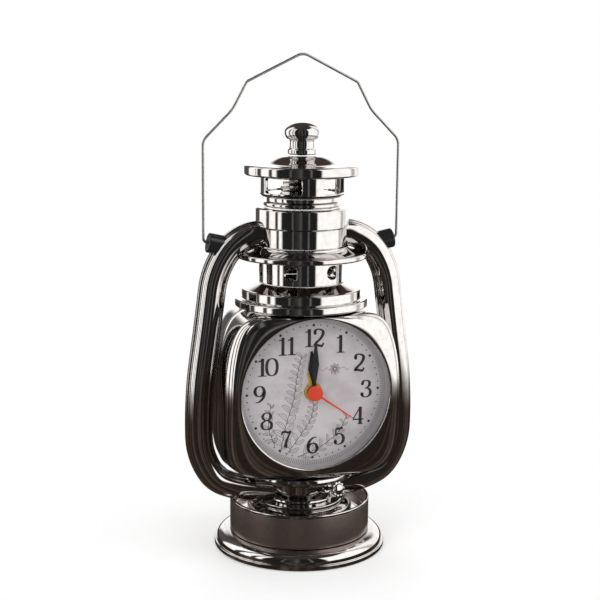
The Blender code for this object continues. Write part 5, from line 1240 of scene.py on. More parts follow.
    def build_cap(self) -> None:
        """Wide cap: rounded rim, nearly flat brim, low dome up to the knob's seat, dish below.

        With t the share of the way in, the dome's height is the rise times
        (1 - cos(pi s)) / 2 + 0.1 sin(pi s), where s = t^0.8.
        """
        r, z, rim, top = self.cap_radius, self.cap_z, self.cap_z + self.cap_rim, self.cap_top
        brim, bore, dish, low = self.cap_brim, self.cap_bore, self.cap_dish, self.cap_z + 0.0018
        s = np.linspace(0, 1, 30) ** 0.8
        rise = (1 - np.cos(math.pi * s)) / 2 + 0.1 * np.sin(math.pi * s)
        dome = np.stack(
            (brim + (self.cap_seat - brim) * s, rim + 0.0003 + (top - rim - 0.0003) * rise), axis=1)
        edge = rounded([(bore, low), (dish, low), (dish, z), (r, z), (r, rim), tuple(dome[0])],
                       [0, 0.0003, 0.0002, 0.0010, 0.0012, 0], False, 8)
        lathe("domed_cap", np.vstack((edge, dome[1:], [(bore, top), (bore, low)])), "cap_disc")

    def build_knob(self) -> None:
        """Turned button: a rolled collar, a waisted stem and a flattened ball."""
        z, r = self.knob_z, self.knob_radius
        collar = rounded(
            [(0, z), (0.0062, z), (0.0067, z + 0.0006), (0.0067, z + 0.0022), (0.0060, z + 0.0030),
             (0.0058, z + 0.0038), (0.0058, z + 0.0060), (0.0061, z + 0.0066)],
            [0, 0.0004, 0.0007, 0.0008, 0.0005, 0.0008, 0.0008, 0], False, 7)
        middle = z + 0.0068 + 0.0033
        under = quarter((0.0061, z + 0.0067), (r, middle), True, 14)
        over = quarter((r, middle), (0, z + self.knob_height), False, 20)
        lathe("cap_button", np.vstack((collar, under, over[1:])), "cap_knob", steps=128, wrap=False)


# Air tubes, ears and bail

class Side(Enum):
    """Sides of the lantern, with the sign of X."""

    LEFT = -1
    RIGHT = 1


class Half(Enum):
    """Halves of an air tube, with the sign of Y."""

    FRONT = -1
    REAR = 1


@dataclass
class AirTube:
    """One side tube: two halves with a seam flange each, carried along one bent line."""

    side: Side
    reach: float = 0.0480
    low_z: float = 0.0245
    high_z: float = 0.1468
    flange: float = 0.0062
    flange_thickness: float = 0.0015
    body: float = 0.0051
    depth: float = 0.0066
    shares: tuple[Pair, ...] = (
        (0.390, 1.0), (0.54, 0.990), (0.69, 0.952), (0.79, 0.895), (0.852, 0.830), (0.877, 0.764),
        (0.906, 0.675), (0.937, 0.585), (0.966, 0.503), (0.986, 0.429), (0.998, 0.339),
        (1.000, 0.266), (0.994, 0.208), (0.960, 0.155), (0.895, 0.102), (0.805, 0.065),
        (0.660, 0.041), (0.500, 0.024), (0.2875, 0.010))

    def path(self) -> Array:
        """Middle line of the tube, evenly dealt and free of small waves."""
        flat = np.array(self.shares)
        points = np.stack((self.side.value * self.reach * flat[:, 0], np.zeros(len(flat)),
                           self.low_z + (self.high_z - self.low_z) * flat[:, 1]), axis=1)
        return evened(smooth_line(points, 600), 200, 0.0022)

    def section(self) -> Array:
        """Closed (u, v) line of one half: flat flange, fillet and a rounded raised body."""
        seam, top = GAP / 2, GAP / 2 + self.flange_thickness
        t = np.linspace(math.pi, 0, 25)[1:-1]
        body = np.stack((self.body * np.cos(t), top + (self.depth - top) * np.sin(t) ** (2 / 3)),
                        axis=1)
        corners = np.vstack(([(-self.flange, seam), (-self.flange, top), (-self.body, top)], body,
                             [(self.body, top), (self.flange, top), (self.flange, seam)]))
        radii = [0.0001, 0.0004, 0.0005] + [0.0] * len(body) + [0.0005, 0.0004, 0.0001]
        return rounded(corners, radii)

    def build(self) -> None:
        """Build both halves."""
        path, side = self.path(), self.side.name.lower()
        for half in Half:
            across = np.array((0.0, float(half.value), 0.0))
            end = half.name.lower()
            shell = Shell(f"{side}_channel_{end}",
                          closed_ends(carried(path, across, self.section())))
            shell.piece(CHROME, replaces=[f"{side}_tube_{end}"])


@dataclass
class BailWork:
    """Bent wire bail and the two bosses that hold its ends."""

    pivot_z: float = 0.1434
    ear_end: float = 0.0436
    ear_radius: float = 0.0045
    ear_length: float = 0.0080
    ear_tilt: float = math.radians(12)
    wire: float = 0.0006
    corners: tuple[Pair, ...] = ((0.0399, 0.1434), (0.0455, 0.1434), (0.0455, 0.1887),
                                 (0.0322, 0.2021), (0.0256, 0.2144), (0.0, 0.2272))
    bends: tuple[float, ...] = (0.0, 0.0020, 0.0060, 0.0180, 0.0020, 0.0060)

    def build_wire(self) -> None:
        """Round wire carried along straight runs joined by bends."""
        half = [(x, 0.0, z) for x, z in self.corners]
        line = half + [(-x, 0.0, z) for x, _, z in half[-2::-1]]
        radii = list(self.bends) + list(self.bends[-2::-1])
        path = rounded(line, radii, False, steps=10)
        patch = carried(path, FRONT, circle(self.wire, np.linspace(0, math.tau, 17)))
        Shell("bail_wire", closed_ends(patch)).piece(WIRE, "bail", ["bail"])

    def build_ear(self, side: Side) -> None:
        """Boss: a black button with a rolled edge and a shallow recess in its face.

        Args:
            side: Side of the lantern on which it sits.
        """
        r, foot, sign, name = self.ear_radius, -self.ear_length, side.value, side.name.lower()
        profile = rounded([(0, foot), (r, foot), (r, 0), (r - 0.0011, 0.0), (r - 0.0014, -0.0003),
                           (0, -0.0003)], [0, 0.0002, 0.0008, 0.0002, 0.0003, 0], False, steps=8)
        place = aimed((sign * self.ear_end, 0, self.pivot_z),
                      (sign * math.cos(self.ear_tilt), 0, math.sin(self.ear_tilt)))
        shell = Shell(f"{name}_boss", [turned(profile, 64, wrap=False).moved(place)])
        shell.piece(GLOSS_BLACK, replaces=[f"{name}_ear"])

    def build(self) -> None:
        """Build the wire and both bosses."""
        self.build_wire()
        for side in Side:
            self.build_ear(side)


@dataclass
class WickWork:
    """Wick spindle's boss on the pedestal and its scalloped wheel."""

    azimuth: float = math.radians(25)
    tilt: float = math.radians(12)
    reach: float = 0.0276
    height: float = 0.0321
    radius: float = 0.0036
    notch: float = 0.0005
    lobes: int = 10
    hub: float = 0.0026

    def place(self) -> Matrix:
        """Matrix that carries +Z at the origin to the spindle's line."""
        level = math.cos(self.tilt)
        aim = (math.sin(self.azimuth) * level, -math.cos(self.azimuth) * level, math.sin(self.tilt))
        return aimed((0, 0, self.height - self.reach * math.tan(self.tilt)), aim)

    def build(self) -> None:
        """Build the boss and the wheel, whose rim is r - 1.6 notch (1 - |cos(lobes t / 2)|)."""
        place = self.place()
        boss = rounded([(0.0012, 0.0140), (0.0022, 0.0140), (0.0022, 0.0202), (0.0012, 0.0202)],
                       [0, 0, 0.0006, 0.0001])
        Shell("spindle_boss", [turned(boss, 48).moved(place)]).piece(CHROME, replaces=["wick_boss"])
        t = np.linspace(0, math.tau, self.lobes * 16 + 1)
        reach = self.radius - self.notch * (1 - np.abs(np.cos(self.lobes * t / 2))) * 1.6
        front, hub = self.reach + 0.0007, self.hub
        wheel = [p.moved(place) for p in slab(circle(reach, t), front - 0.0014, front, 0.0003)]
        stem = [(0, 0.0165), (0.0009, 0.0165), (0.0009, front - 0.0010), (hub, front - 0.0010)]
        dome = quarter((hub, front + 0.0002), (0, front + 0.0013), False, 10)
        nut = turned(thinned(np.vstack((stem, dome))), 48, wrap=False).moved(place)
        Shell("scalloped_wheel", wheel).piece(CHROME, "wick_wheel", ["wick_wheel"])
        Shell("wheel_hub", [nut]).piece(CHROME, "wick_wheel")


# Clock body

@dataclass
class ClockBody(SubAssembly):
    """Front and rear shells of the body: a rounded square, straighter on top."""

    half_width: float = 0.0405
    bottom_z: float = 0.0375
    top_z: float = 0.1134
    top_share: float = 8.0
    face_share: float = 3.5
    seam_share: float = 8.0
    crown_share: float = 2.0
    taper: float = 0.18
    front_y: float = -0.0286
    back_y: float = 0.0240
    opening: float = 0.0342
    lip: float = 0.0006
    shoulder: float = 0.0071
    draft: float = 0.001
    wall: float = 0.0019
    top_wall: float = 0.0009
    margin: float = 0.0036
    back_inset: float = 0.0046
    case_half: float = 0.0280
    case_gap: float = 0.0008
    case_corner: float = 0.0040
    turns: int = 320

    def outline(self, y: float, side: float, top: float, bottom: float) -> Array:
        """Loop of the body at one depth.

        At turn t the reach is (|cos t / w|^n + |sin t / h|^n)^(-1/n). Above the dial's middle n is
        the same at every depth, and the body narrows with the square of its height; below, n
        grows from the face to the seam, so that the lower corners get squarer.

        Args:
            y: Depth of the loop.
            side: Inset at the sides.
            top: Inset at the top.
            bottom: Inset at the bottom.

        Returns:
            Closed loop of points.
        """
        t = np.linspace(0, math.tau, self.turns + 1)
        c, s = np.cos(t), np.sin(t)
        c[-1], s[-1] = c[0], s[0]
        upper = s >= 0
        height = np.where(upper, self.top_z - top - DIAL_Z, DIAL_Z - self.bottom_z - bottom)
        depth = min((y - self.front_y) / -self.front_y, 1.0)
        share = np.where(upper, self.top_share,
                         self.face_share + (self.seam_share - self.face_share) * depth)
        width = self.half_width - side
        reach = (np.abs(c / width) ** share + np.abs(s / height) ** share) ** (-1 / share)
        squeeze = np.where(upper, 1 - self.taper * (reach * s / height) ** 2, 1.0)
        return np.stack((reach * c * squeeze, np.full(len(t), y), DIAL_Z + reach * s), axis=1)

    def round_loop(self, radius: float, y: float) -> Array:
        """Circle about the dial's middle, dealt like the outline."""
        flat = self.outline(y, 0, 0, 0)
        t = np.arctan2(flat[:, 2] - DIAL_Z, flat[:, 0])
        return np.stack((radius * np.cos(t), np.full(len(t), y), DIAL_Z + radius * np.sin(t)),
                        axis=1)

    def case_loop(self, half: float, y: float) -> Array:
        """Rounded square about the dial's middle, dealt like the outline.

        Args:
            half: Half its width.
            y: Depth of the loop.

        Returns:
            Closed loop of points.
        """
        flat = self.outline(y, 0, 0, 0)
        away = unit(np.stack((flat[:, 0], flat[:, 2] - DIAL_Z), axis=1))
        reach = half / np.abs(away).max(axis=1)
        reach = np.minimum(reach, (half - self.case_corner) * math.sqrt(2) + self.case_corner)
        return np.stack((away[:, 0] * reach, np.full(len(flat), y), DIAL_Z + away[:, 1] * reach),
                        axis=1)

    def crown(self, face_in: Array, edge: Array, turn: float) -> Array:
        """Loop of the crowned face between the lip and the wall.

        With u = sin(turn) the share of the way out, the face falls back by
        depth (1 - (1 - u^n)^(1/n)), so it leaves the lip flat and meets the wall square; the
        corners, where the way is long, get the widest shoulders.

        Args:
            face_in: Loop at the lip.
            edge: Loop where the wall starts.
            turn: Quarter turn's share of the profile, in radians.

        Returns:
            The loop at that share.
        """
        n = self.crown_share
        u = math.sin(turn) ** (2 / n)
        fall = 1 - math.cos(turn) ** (2 / n)
        loop = face_in + (edge - face_in) * u
        loop[:, 1] = face_in[:, 1] + (edge[:, 1] - face_in[:, 1]) * fall
        return loop

    def build_front(self) -> None:
        """Front shell: rolled lip, crowned face, and the wall back to the seam."""
        f, m, lip, shoulder = self.front_y, self.margin, self.lip, self.shoulder
        wall, top, seam, quarter_turn = self.wall, self.top_wall, -GAP / 2, math.pi / 2
        loops = [self.round_loop(self.opening, f + 0.0010)]
        loops += [self.round_loop(self.opening + lip * (1 - math.cos(a)), f + lip * (
            1 - math.sin(a))) for a in np.linspace(0, quarter_turn, 7)]
        face_in, edge = loops[-1], self.outline(f + shoulder, 0.0, 0.0, 0.0)
        loops += [self.crown(face_in, edge, turn) for turn in np.linspace(0, quarter_turn, 46)[1:]]
        loops += [self.outline(y, self.draft * (y - f - shoulder) / (seam - f - shoulder), 0, 0)
                  for y in np.linspace(f + shoulder, seam, 7)[1:]]
        loops += [self.outline(y, side, top, low) for y, side, low in (
            (seam, self.draft + wall, wall), (f + shoulder, wall, wall),
            (f + 0.0031, wall + m / 5, wall + m / 5),
            (f + 0.0014, wall + m * 2 / 3, wall + m * 2 / 3))]
        skin = Patch.over(np.stack(loops + loops[:1]), True, True)
        Shell("body_front", [skin]).piece(CHROME, replaces=["housing_front"])

    def build_rear(self) -> None:
        """Rear shell: the wall, a soft shoulder, the flat back and its rounded-square opening."""
        back, inset, draft, wall, top, seam = (
            self.back_y, self.back_inset, self.draft, self.wall, self.top_wall, GAP / 2)
        run = smooth_line([(seam, 0.0, 0.0, 0.0), (back / 2, inset / 8, 0.0, inset / 8),
                           (back * 4 / 5, inset / 3, inset / 8, inset / 3),
                           (back - inset / 5, inset * 3 / 5, inset / 4, inset * 3 / 5),
                           (back, inset, inset / 2, inset)], 34)
        loops = [self.outline(y, draft + side, high, low) for y, side, high, low in run]
        half = self.case_half + self.case_gap
        edge, hole = loops[-1], self.case_loop(half + 0.0003, back)
        loops += [edge + (hole - edge) * k / 5 for k in range(1, 6)]
        loops += [self.case_loop(half, back - 0.0003), self.case_loop(half, back - wall)]
        loops += [self.outline(y, side, high, low) for y, side, high, low in (
            (back - wall, draft + inset + wall / 2, inset / 2 + wall / 2, inset + wall / 2),
            (back * 3 / 4, draft + inset / 3 + wall, inset / 8 + wall, inset / 3 + wall),
            (back / 2, draft + inset / 8 + wall, top, inset / 8 + wall),
            (seam, draft + wall, top, wall))]
        skin = Patch.over(np.stack(loops + loops[:1]), True, True)
        Shell("body_rear", [skin]).piece(CHROME, replaces=["housing_rear"])


# Dial, numerals and hands

def on_dial(flat: Array, out: Array | float) -> Array:
    """Points (x, y) on the dial at a distance out of its middle plane, in the row's frame."""
    out = np.broadcast_to(out, flat.shape[:-1])
    return np.stack((flat[..., 0], -out, DIAL_Z + flat[..., 1]), axis=-1)


def facing_front(angle: float = 0.0) -> Matrix:
    """Matrix that stands a flat piece up on the dial's middle, turned clockwise by an angle."""
    stand = Matrix.Translation((0, 0, DIAL_Z)) @ Matrix.Rotation(math.pi / 2, 4, "X")
    return stand @ Matrix.Rotation(-angle, 4, "Z")


def cut_level(reach: Array | float, turn: Array, level: float) -> Array:
    """Reach at each turn, cut so that nothing stands over a level: min(r, level / sin t)."""
    rise = np.sin(turn)
    return np.minimum(reach, np.where(rise > 1e-6, level / np.maximum(rise, 1e-6), 9.0))


def dial_ring(profile: Array, level: float, steps: int = 160) -> Patch:
    """Profile turned about the dial's middle and cut level.

    Args:
        profile: Closed line of (radius, distance out).
        level: Height over the middle at which it is cut.
        steps: Steps of a whole turn.

    Returns:
        The closed surface.
    """
    t = np.linspace(0, math.tau, steps + 1)
    reach = cut_level(np.broadcast_to(profile[:, :1], (len(profile), len(t))), t, level)
    return Patch.over(on_dial(circle(reach, t), profile[:, 1:]), True, True)


@dataclass
class Stroke:
    """One pen stroke of a numeral: a smooth line, thick where it runs upright."""

    points: tuple[Pair, ...]
    thick: float = 0.13
    thin: float = 0.045
    closed: bool = False
    smooth: bool = True
    taper: Pair = (1.0, 1.0)

    def ribbon(self, weight: float) -> tuple[Array, Array]:
        """Edges of the stroke; its width grows with how upright the line runs.

        Args:
            weight: Factor on the width.

        Returns:
            Points of the left edge and of the right edge.
        """
        count = 56 if self.smooth else 2 * len(self.points)
        line = (smooth_line(self.points, count, self.closed) if self.smooth
                else evened(np.asarray(self.points, float), count))
        left = beside(line, self.closed)
        width = self.thin + (self.thick - self.thin) * np.abs(left[:, 0]) ** 1.6
        width = width * np.linspace(self.taper[0], self.taper[1], len(line)) * weight
        side = left * width[:, None] / 2
        return line + side, line - side


def blot(x: float, y: float, size: float) -> Stroke:
    """Round end of a curved stroke."""
    t = np.linspace(0, math.tau, 9)[:-1]
    ring = tuple((x + size * 0.5 * math.cos(a), y + size * 0.5 * math.sin(a)) for a in t)
    return Stroke(ring, size, size, closed=True)


DIGITS: dict[str, tuple[Stroke, ...]] = {
    "0": (Stroke(((0.30, 0.5), (0.22, 0.86), (0.0, 0.975), (-0.22, 0.86), (-0.30, 0.5),
                  (-0.22, 0.14), (0.0, 0.025), (0.22, 0.14)), closed=True),),
    "1": (Stroke(((0.03, 0.02), (0.03, 1.0)), smooth=False, thick=0.14),
          Stroke(((0.05, 0.98), (-0.04, 0.88), (-0.20, 0.83)), thin=0.05, thick=0.08),
          Stroke(((-0.20, 0.022), (0.26, 0.022)), smooth=False)),
    "2": (Stroke(((-0.22, 0.76), (-0.17, 0.92), (0.01, 0.975), (0.22, 0.88), (0.25, 0.70),
                  (0.12, 0.46), (-0.10, 0.24), (-0.25, 0.05)), thick=0.14, thin=0.06),
          Stroke(((-0.27, 0.06), (-0.1, 0.085), (0.10, 0.035), (0.22, 0.05), (0.29, 0.20)),
                 thick=0.08, thin=0.11), blot(-0.20, 0.75, 0.075)),
    "3": (Stroke(((-0.20, 0.80), (-0.12, 0.94), (0.04, 0.975), (0.21, 0.88), (0.21, 0.68), (
        0.08, 0.56), (-0.04, 0.535)), thick=0.13), Stroke(
            ((-0.04, 0.535), (0.13, 0.52), (0.27, 0.38), (0.26, 0.16), (0.07, 0.025), (-0.13, 0.06),
             (-0.22, 0.19)), thick=0.14), blot(-0.185, 0.79, 0.075), blot(-0.205, 0.20, 0.085)),
    "4": (Stroke(((0.12, 0.02), (0.12, 1.0)), smooth=False, thick=0.14),
          Stroke(((0.10, 0.97), (-0.30, 0.29)), smooth=False, thick=0.055),
          Stroke(((-0.31, 0.28), (0.31, 0.28)), smooth=False, thin=0.06),
          Stroke(((-0.04, 0.022), (0.28, 0.022)), smooth=False)),
    "5": (Stroke(((-0.17, 0.95), (-0.19, 0.53)), smooth=False, thick=0.06),
          Stroke(((-0.17, 0.93), (0.04, 0.925), (0.22, 0.98)), thin=0.10), Stroke(
              ((-0.19, 0.54), (-0.02, 0.63), (0.17, 0.57), (0.27, 0.36), (0.20, 0.12), (0.0, 0.025),
               (-0.17, 0.07), (-0.22, 0.20)), thick=0.14), blot(-0.20, 0.20, 0.085)),
    "6": (Stroke(((0.22, 0.93), (0.02, 0.90), (-0.19, 0.70), (-0.27, 0.40), (-0.19, 0.12),
                  (0.0, 0.025), (0.20, 0.12), (0.26, 0.32), (0.18, 0.52), (0.0, 0.59),
                  (-0.17, 0.50), (-0.25, 0.34)), thick=0.14),),
    "7": (Stroke(((-0.24, 0.78), (-0.22, 0.92), (-0.08, 0.95), (0.10, 0.90), (0.27, 0.97)),
                 thin=0.10, thick=0.07),
          Stroke(((0.27, 0.96), (0.10, 0.62), (-0.01, 0.30), (-0.03, 0.03)), thick=0.13,
                 taper=(0.55, 1.25))),
    "8": (Stroke(((0.0, 0.54), (0.19, 0.64), (0.23, 0.79), (0.15, 0.93), (0.0, 0.975),
                  (-0.15, 0.93), (-0.23, 0.79), (-0.19, 0.64)), thick=0.12, closed=True),
          Stroke(((0.0, 0.54), (0.22, 0.44), (0.28, 0.26), (0.19, 0.08), (0.0, 0.025),
                  (-0.19, 0.08), (-0.28, 0.26), (-0.22, 0.44)), thick=0.13, closed=True)),
    "9": (Stroke(((-0.22, 0.07), (-0.02, 0.10), (0.19, 0.30), (0.27, 0.60), (0.19, 0.88),
                  (0.0, 0.975), (-0.20, 0.88), (-0.26, 0.68), (-0.18, 0.48), (0.0, 0.41),
                  (0.17, 0.50), (0.25, 0.66)), thick=0.14),),}


@dataclass
class DialWork(SubAssembly):
    """Dial plate with its print, the black ring and the clear lens."""

    radius: float = 0.0372
    hole: float = 0.0041
    back: float = 0.0210
    front: float = 0.0218
    flat_y: float = 0.0346
    numeral_radius: float = 0.0247
    numeral_height: float = 0.0081
    numeral_weight: float = 1.28
    numeral_pitch: float = 0.56
    close_pitch: float = 0.50
    dot_radius: float = 0.0305
    dot_size: float = 0.00031
    hour_dot_size: float = 0.00062
    print_sink: float = 0.00001
    print_rise: float = 0.00003
    line_width: float = 0.00016
    rosette: Pair = (0.0100, 0.0100)
    rosette_leaves: int = 8
    lens_back: float = 0.0263
    lens_front: float = 0.0272
    lens_radius: float = 0.0354
    stems: tuple[tuple[tuple[Pair, ...], int, float], ...] = (
        (((-0.0150, -0.0275), (-0.0125, -0.0150), (-0.0090, -0.0030), (-0.0075, 0.0075),
          (-0.0055, 0.0165)), 13, 0.0062), (((-0.0125, -0.0290), (-0.0055, -0.0195),
                                             (-0.0010, -0.0125), (0.0005, -0.0055)), 8, 0.0050),
        (((-0.0070, -0.0300), (0.0030, -0.0262), (0.0115, -0.0200), (0.0160, -0.0120)), 8, 0.0046),
        (((-0.0175, -0.0245), (-0.0205, -0.0150), (-0.0195, -0.0050)), 6, 0.0040))

    def build_plate(self) -> None:
        """Dial plate: a thin ring cut level under the neck rings."""
        profile = rounded([(self.hole, self.back), (self.hole, self.front), (
            self.radius, self.front), (self.radius, self.back)], [0, 0.0001, 0.0001, 0])
        Shell("dial_plate", [dial_ring(profile, self.flat_y)]).piece(PAPER, replaces=["dial"])

    def raised(self, left: Array, right: Array) -> Patch:
        """Thin bar of ink between two lines, standing a hair proud of the paper.

        Args:
            left: Points of its left edge.
            right: Points of its right edge.

        Returns:
            The bar without its ends.
        """
        low, high = self.front - self.print_sink, self.front + self.print_rise
        loop = np.stack([on_dial(line, out) for line, out in (
            (left, low), (left, high), (right, high), (right, low), (left, low))], axis=1)
        patch = Patch.over(loop, wrap_columns=True)
        patch.normals[...] = FRONT
        return patch

    def numeral(self, hour: int) -> list[Patch]:
        """Strokes of one hour's figure, upright, centred at its place on the dial.

        Args:
            hour: Hour from 1 to 12.

        Returns:
            Patches of the strokes.
        """
        text, size = str(hour), self.numeral_height
        turn = math.pi / 2 - math.tau * hour / 12
        middle = np.array((math.cos(turn), math.sin(turn))) * self.numeral_radius
        pitch = self.close_pitch if text == "11" else self.numeral_pitch
        found = []
        for k, sign in enumerate(text):
            shift = np.array(((k - (len(text) - 1) / 2) * pitch * size, -size / 2)) + middle
            for stroke in DIGITS[sign]:
                left, right = stroke.ribbon(self.numeral_weight)
                patch = self.raised(left * size + shift, right * size + shift)
                found += [patch] if stroke.closed else closed_ends(patch)
        return found

    def build_figures(self) -> None:
        """Twelve figures in thin raised ink."""
        figures = [patch for hour in range(1, 13) for patch in self.numeral(hour)]
        Shell("dial_figures", figures).piece(INK)

    def build_dots(self) -> None:
        """Sixty round dots, a larger one at every hour."""
        rim, rise = circle(1.0, np.linspace(0, math.tau, 13)), self.print_rise
        steps = ((1.0, -self.print_sink), (1.0, rise * 0.6), (0.8, rise), (0.0, rise))
        dots = []
        for minute in range(60):
            turn = math.pi / 2 - math.tau * minute / 60
            size = self.dot_size if minute % 5 else self.hour_dot_size
            centre = np.array((math.cos(turn), math.sin(turn))) * self.dot_radius
            rows = np.stack(
                [on_dial(centre + rim * size * share, self.front + out) for share, out in steps])
            patch = Patch.over(rows, wrap_columns=True).facing(FRONT)
            patch.normals[...] = FRONT
            dots.append(patch)
        Shell("minute_dots", dots).piece(INK)

    def line(self, points: Array, width: float) -> list[Patch]:
        """Fine printed line of even width through points."""
        side = beside(points, False) * width / 2
        return closed_ends(self.raised(points + side, points - side))

    def leaf(self, root: Array, aim: float, length: float, width: float) -> list[Patch]:
        """Leaf as two fine edges and a rib; the edges stand off by width sin(pi s)^0.8 / 2.

        Args:
            root: Foot of the leaf.
            aim: Direction of the rib at its foot, in radians.
            length: Length of the rib.
            width: Greatest width.

        Returns:
            Patches of the three lines.
        """
        s = np.linspace(0, 1, 11)
        rib = root + circle(1.0, aim + 0.5 * s) * (length * s)[:, None]
        side = beside(rib, False) * (width / 2 * np.sin(math.pi * s) ** 0.8)[:, None]
        return (self.line(rib + side, self.line_width) + self.line(rib - side, self.line_width)
                + self.line(rib[:9], self.line_width * 0.8))

    def spray(self, stem: Sequence[Pair], leaves: int, length: float) -> list[Patch]:
        """Curved stem with pairs of leaves that get shorter towards its tip.

        Args:
            stem: Points that the stem passes.
            leaves: Number of pairs.
            length: Length of the lowest leaves.

        Returns:
            Patches of all lines.
        """
        points = smooth_line(stem, 12 * leaves)
        along = unit(slopes(points, 0, False))
        patches = self.line(points, self.line_width * 1.5)
        for k in range(leaves):
            at = 6 + 12 * k
            heading = math.atan2(along[at, 1], along[at, 0])
            size = length * (1 - 0.5 * k / leaves)
            for sign in (-1, 1):
                root = points[at + 3 * (sign > 0)]
                patches += self.leaf(root, heading + sign * 0.85 - 0.25, size, size * 0.34)
        return patches

    def build_sprays(self) -> None:
        """Pale leafy sprays that rise from the lower left, and a rosette with two tendrils."""
        patches = []
        for stem, leaves, length in self.stems:
            patches += self.spray(stem, leaves, length)
        rosette = np.array(self.rosette)
        for k in range(self.rosette_leaves):
            turn = math.tau * k / self.rosette_leaves
            root = rosette + 0.0005 * np.array((math.cos(turn), math.sin(turn)))
            patches += self.leaf(root, turn - 0.25, 0.0021, 0.0009)
        s = np.linspace(0, 1, 14)
        for sign in (-1, 1):
            sweep = rosette + np.stack(
                (sign * (0.0030 + 0.0036 * s), 0.0007 * np.sin(math.tau * s)), axis=1)
            patches += self.line(sweep, self.line_width)
        Shell("dial_sprays", patches).piece(PALE_INK)

    def build_ring(self) -> None:
        """Sloping black ring between dial and lens."""
        ring = rounded([(0.0362, 0.0221), (0.0375, 0.0221), (0.0375, 0.0245), (0.0366, 0.0260),
                        (0.0349, 0.0260)], [0.0001, 0.0001, 0.0002, 0.0002, 0.0002])
        Shell("sight_ring", [dial_ring(ring, self.flat_y)]).piece(BLACK, replaces=["bezel_ring"])

    def build_lens(self) -> None:
        """Flat clear lens, cut level like the ring."""
        t = np.linspace(0, math.tau, 161)
        outline = circle(cut_level(self.lens_radius, t, self.flat_y), t)
        plate = [p.moved(facing_front())
                 for p in slab(outline, self.lens_back, self.lens_front, 0.00015)]
        Shell("clear_sight", plate).piece(LENS, replaces=["lens"])


@dataclass
class Hand:
    """Flat hand: a blade of changing width on a round hub, with rounded edges."""

    name: str
    body: str
    finish: Finish
    level: float
    length: float
    width: float
    hub: float
    hole: float
    angle: float
    shape: tuple[Pair, ...]
    thickness: float = 0.0004

    def build(self) -> None:
        """Blade as a rounded bar under a smooth width curve, and the hub as a turned ring."""
        shape, count = np.array(self.shape), 60
        s = np.linspace(0, 1, count)
        width = np.interp(s, shape[:, 0], shape[:, 1])
        width = evened(np.stack((s, width), axis=1), count, 0.02)[:, 1]
        ring = circle(1.0, np.linspace(0, math.tau, 25))
        ring = np.sign(ring) * np.abs(ring) ** 0.35 / 2
        low, top = self.hub * 0.8, self.level + self.thickness
        along = low + (self.length - low) * s
        size = (count, len(ring))
        rows = np.stack((
            ring[None, :, 0] * (width * self.width)[:, None], np.broadcast_to(along[:, None], size),
            np.broadcast_to(self.level + self.thickness * (0.5 + ring[None, :, 1]), size)), axis=2)
        blade = closed_ends(Patch.over(rows, wrap_columns=True))
        hub = rounded([(self.hole, self.level), (self.hub, self.level), (self.hub, top),
                       (self.hole, top)], 0.00008, steps=3)
        spin = facing_front(self.angle)
        patches = [patch.moved(spin) for patch in blade]
        Shell(f"{self.name}_blade", patches).piece(self.finish, self.body, [f"{self.name}_hand"])
        Shell(f"{self.name}_hub", [turned(hub, 64).moved(spin)]).piece(self.finish, self.body)


@dataclass
class HandSet:
    """The four hands at the time that the clock shows."""

    ornate: tuple[Pair, ...] = ((0, 0.36), (0.30, 0.34), (0.40, 0.55), (0.52, 1.0), (0.64, 0.80),
                                (0.74, 0.62), (0.80, 0.32), (1.0, 0.24))
    plain: tuple[Pair, ...] = ((0, 1.0), (1.0, 0.45))
    cap_radius: float = 0.0035

    def build(self) -> None:
        """Build alarm, hour, minute and second hands, and the cap over the arbor.

        The numbers of a hand are its level, length, width, hub, hole and angle in degrees.
        """
        for name, finish, shape, numbers in (
                ("alarm", HAND_YELLOW, self.plain, (0.0222, 0.0090, 0.0016, 0.0039, 0.0031, -17)),
                ("hour", HAND_BLACK, self.ornate, (0.0231, 0.0190, 0.0044, 0.0031, 0.0023, -4)),
                ("minute", HAND_BLACK, self.ornate, (0.0240, 0.0236, 0.0036, 0.00235, 0.00155, 1)),
                ("second", HAND_ORANGE, self.plain,
                 (0.0249, 0.0217, 0.0010, 0.0035, 0.0008, 124.7))):
            *sizes, degrees = numbers
            hand = Hand(name, name, finish, *sizes, math.radians(degrees), shape)
            hand.build()
        r, low, edge = self.cap_radius, 0.02535, 0.0257
        cap = np.vstack((rounded([(0.0, low), (r, low), (r, edge)], [0, 0.0001, 0], False),
                         quarter((r, edge), (0.0, 0.0260), False, 8)[1:]))
        dome = turned(thinned(cap), 72, wrap=False).moved(facing_front(hand.angle))
        Shell("second_cap", [dome]).piece(HAND_ORANGE, "second")


# Back of the clock

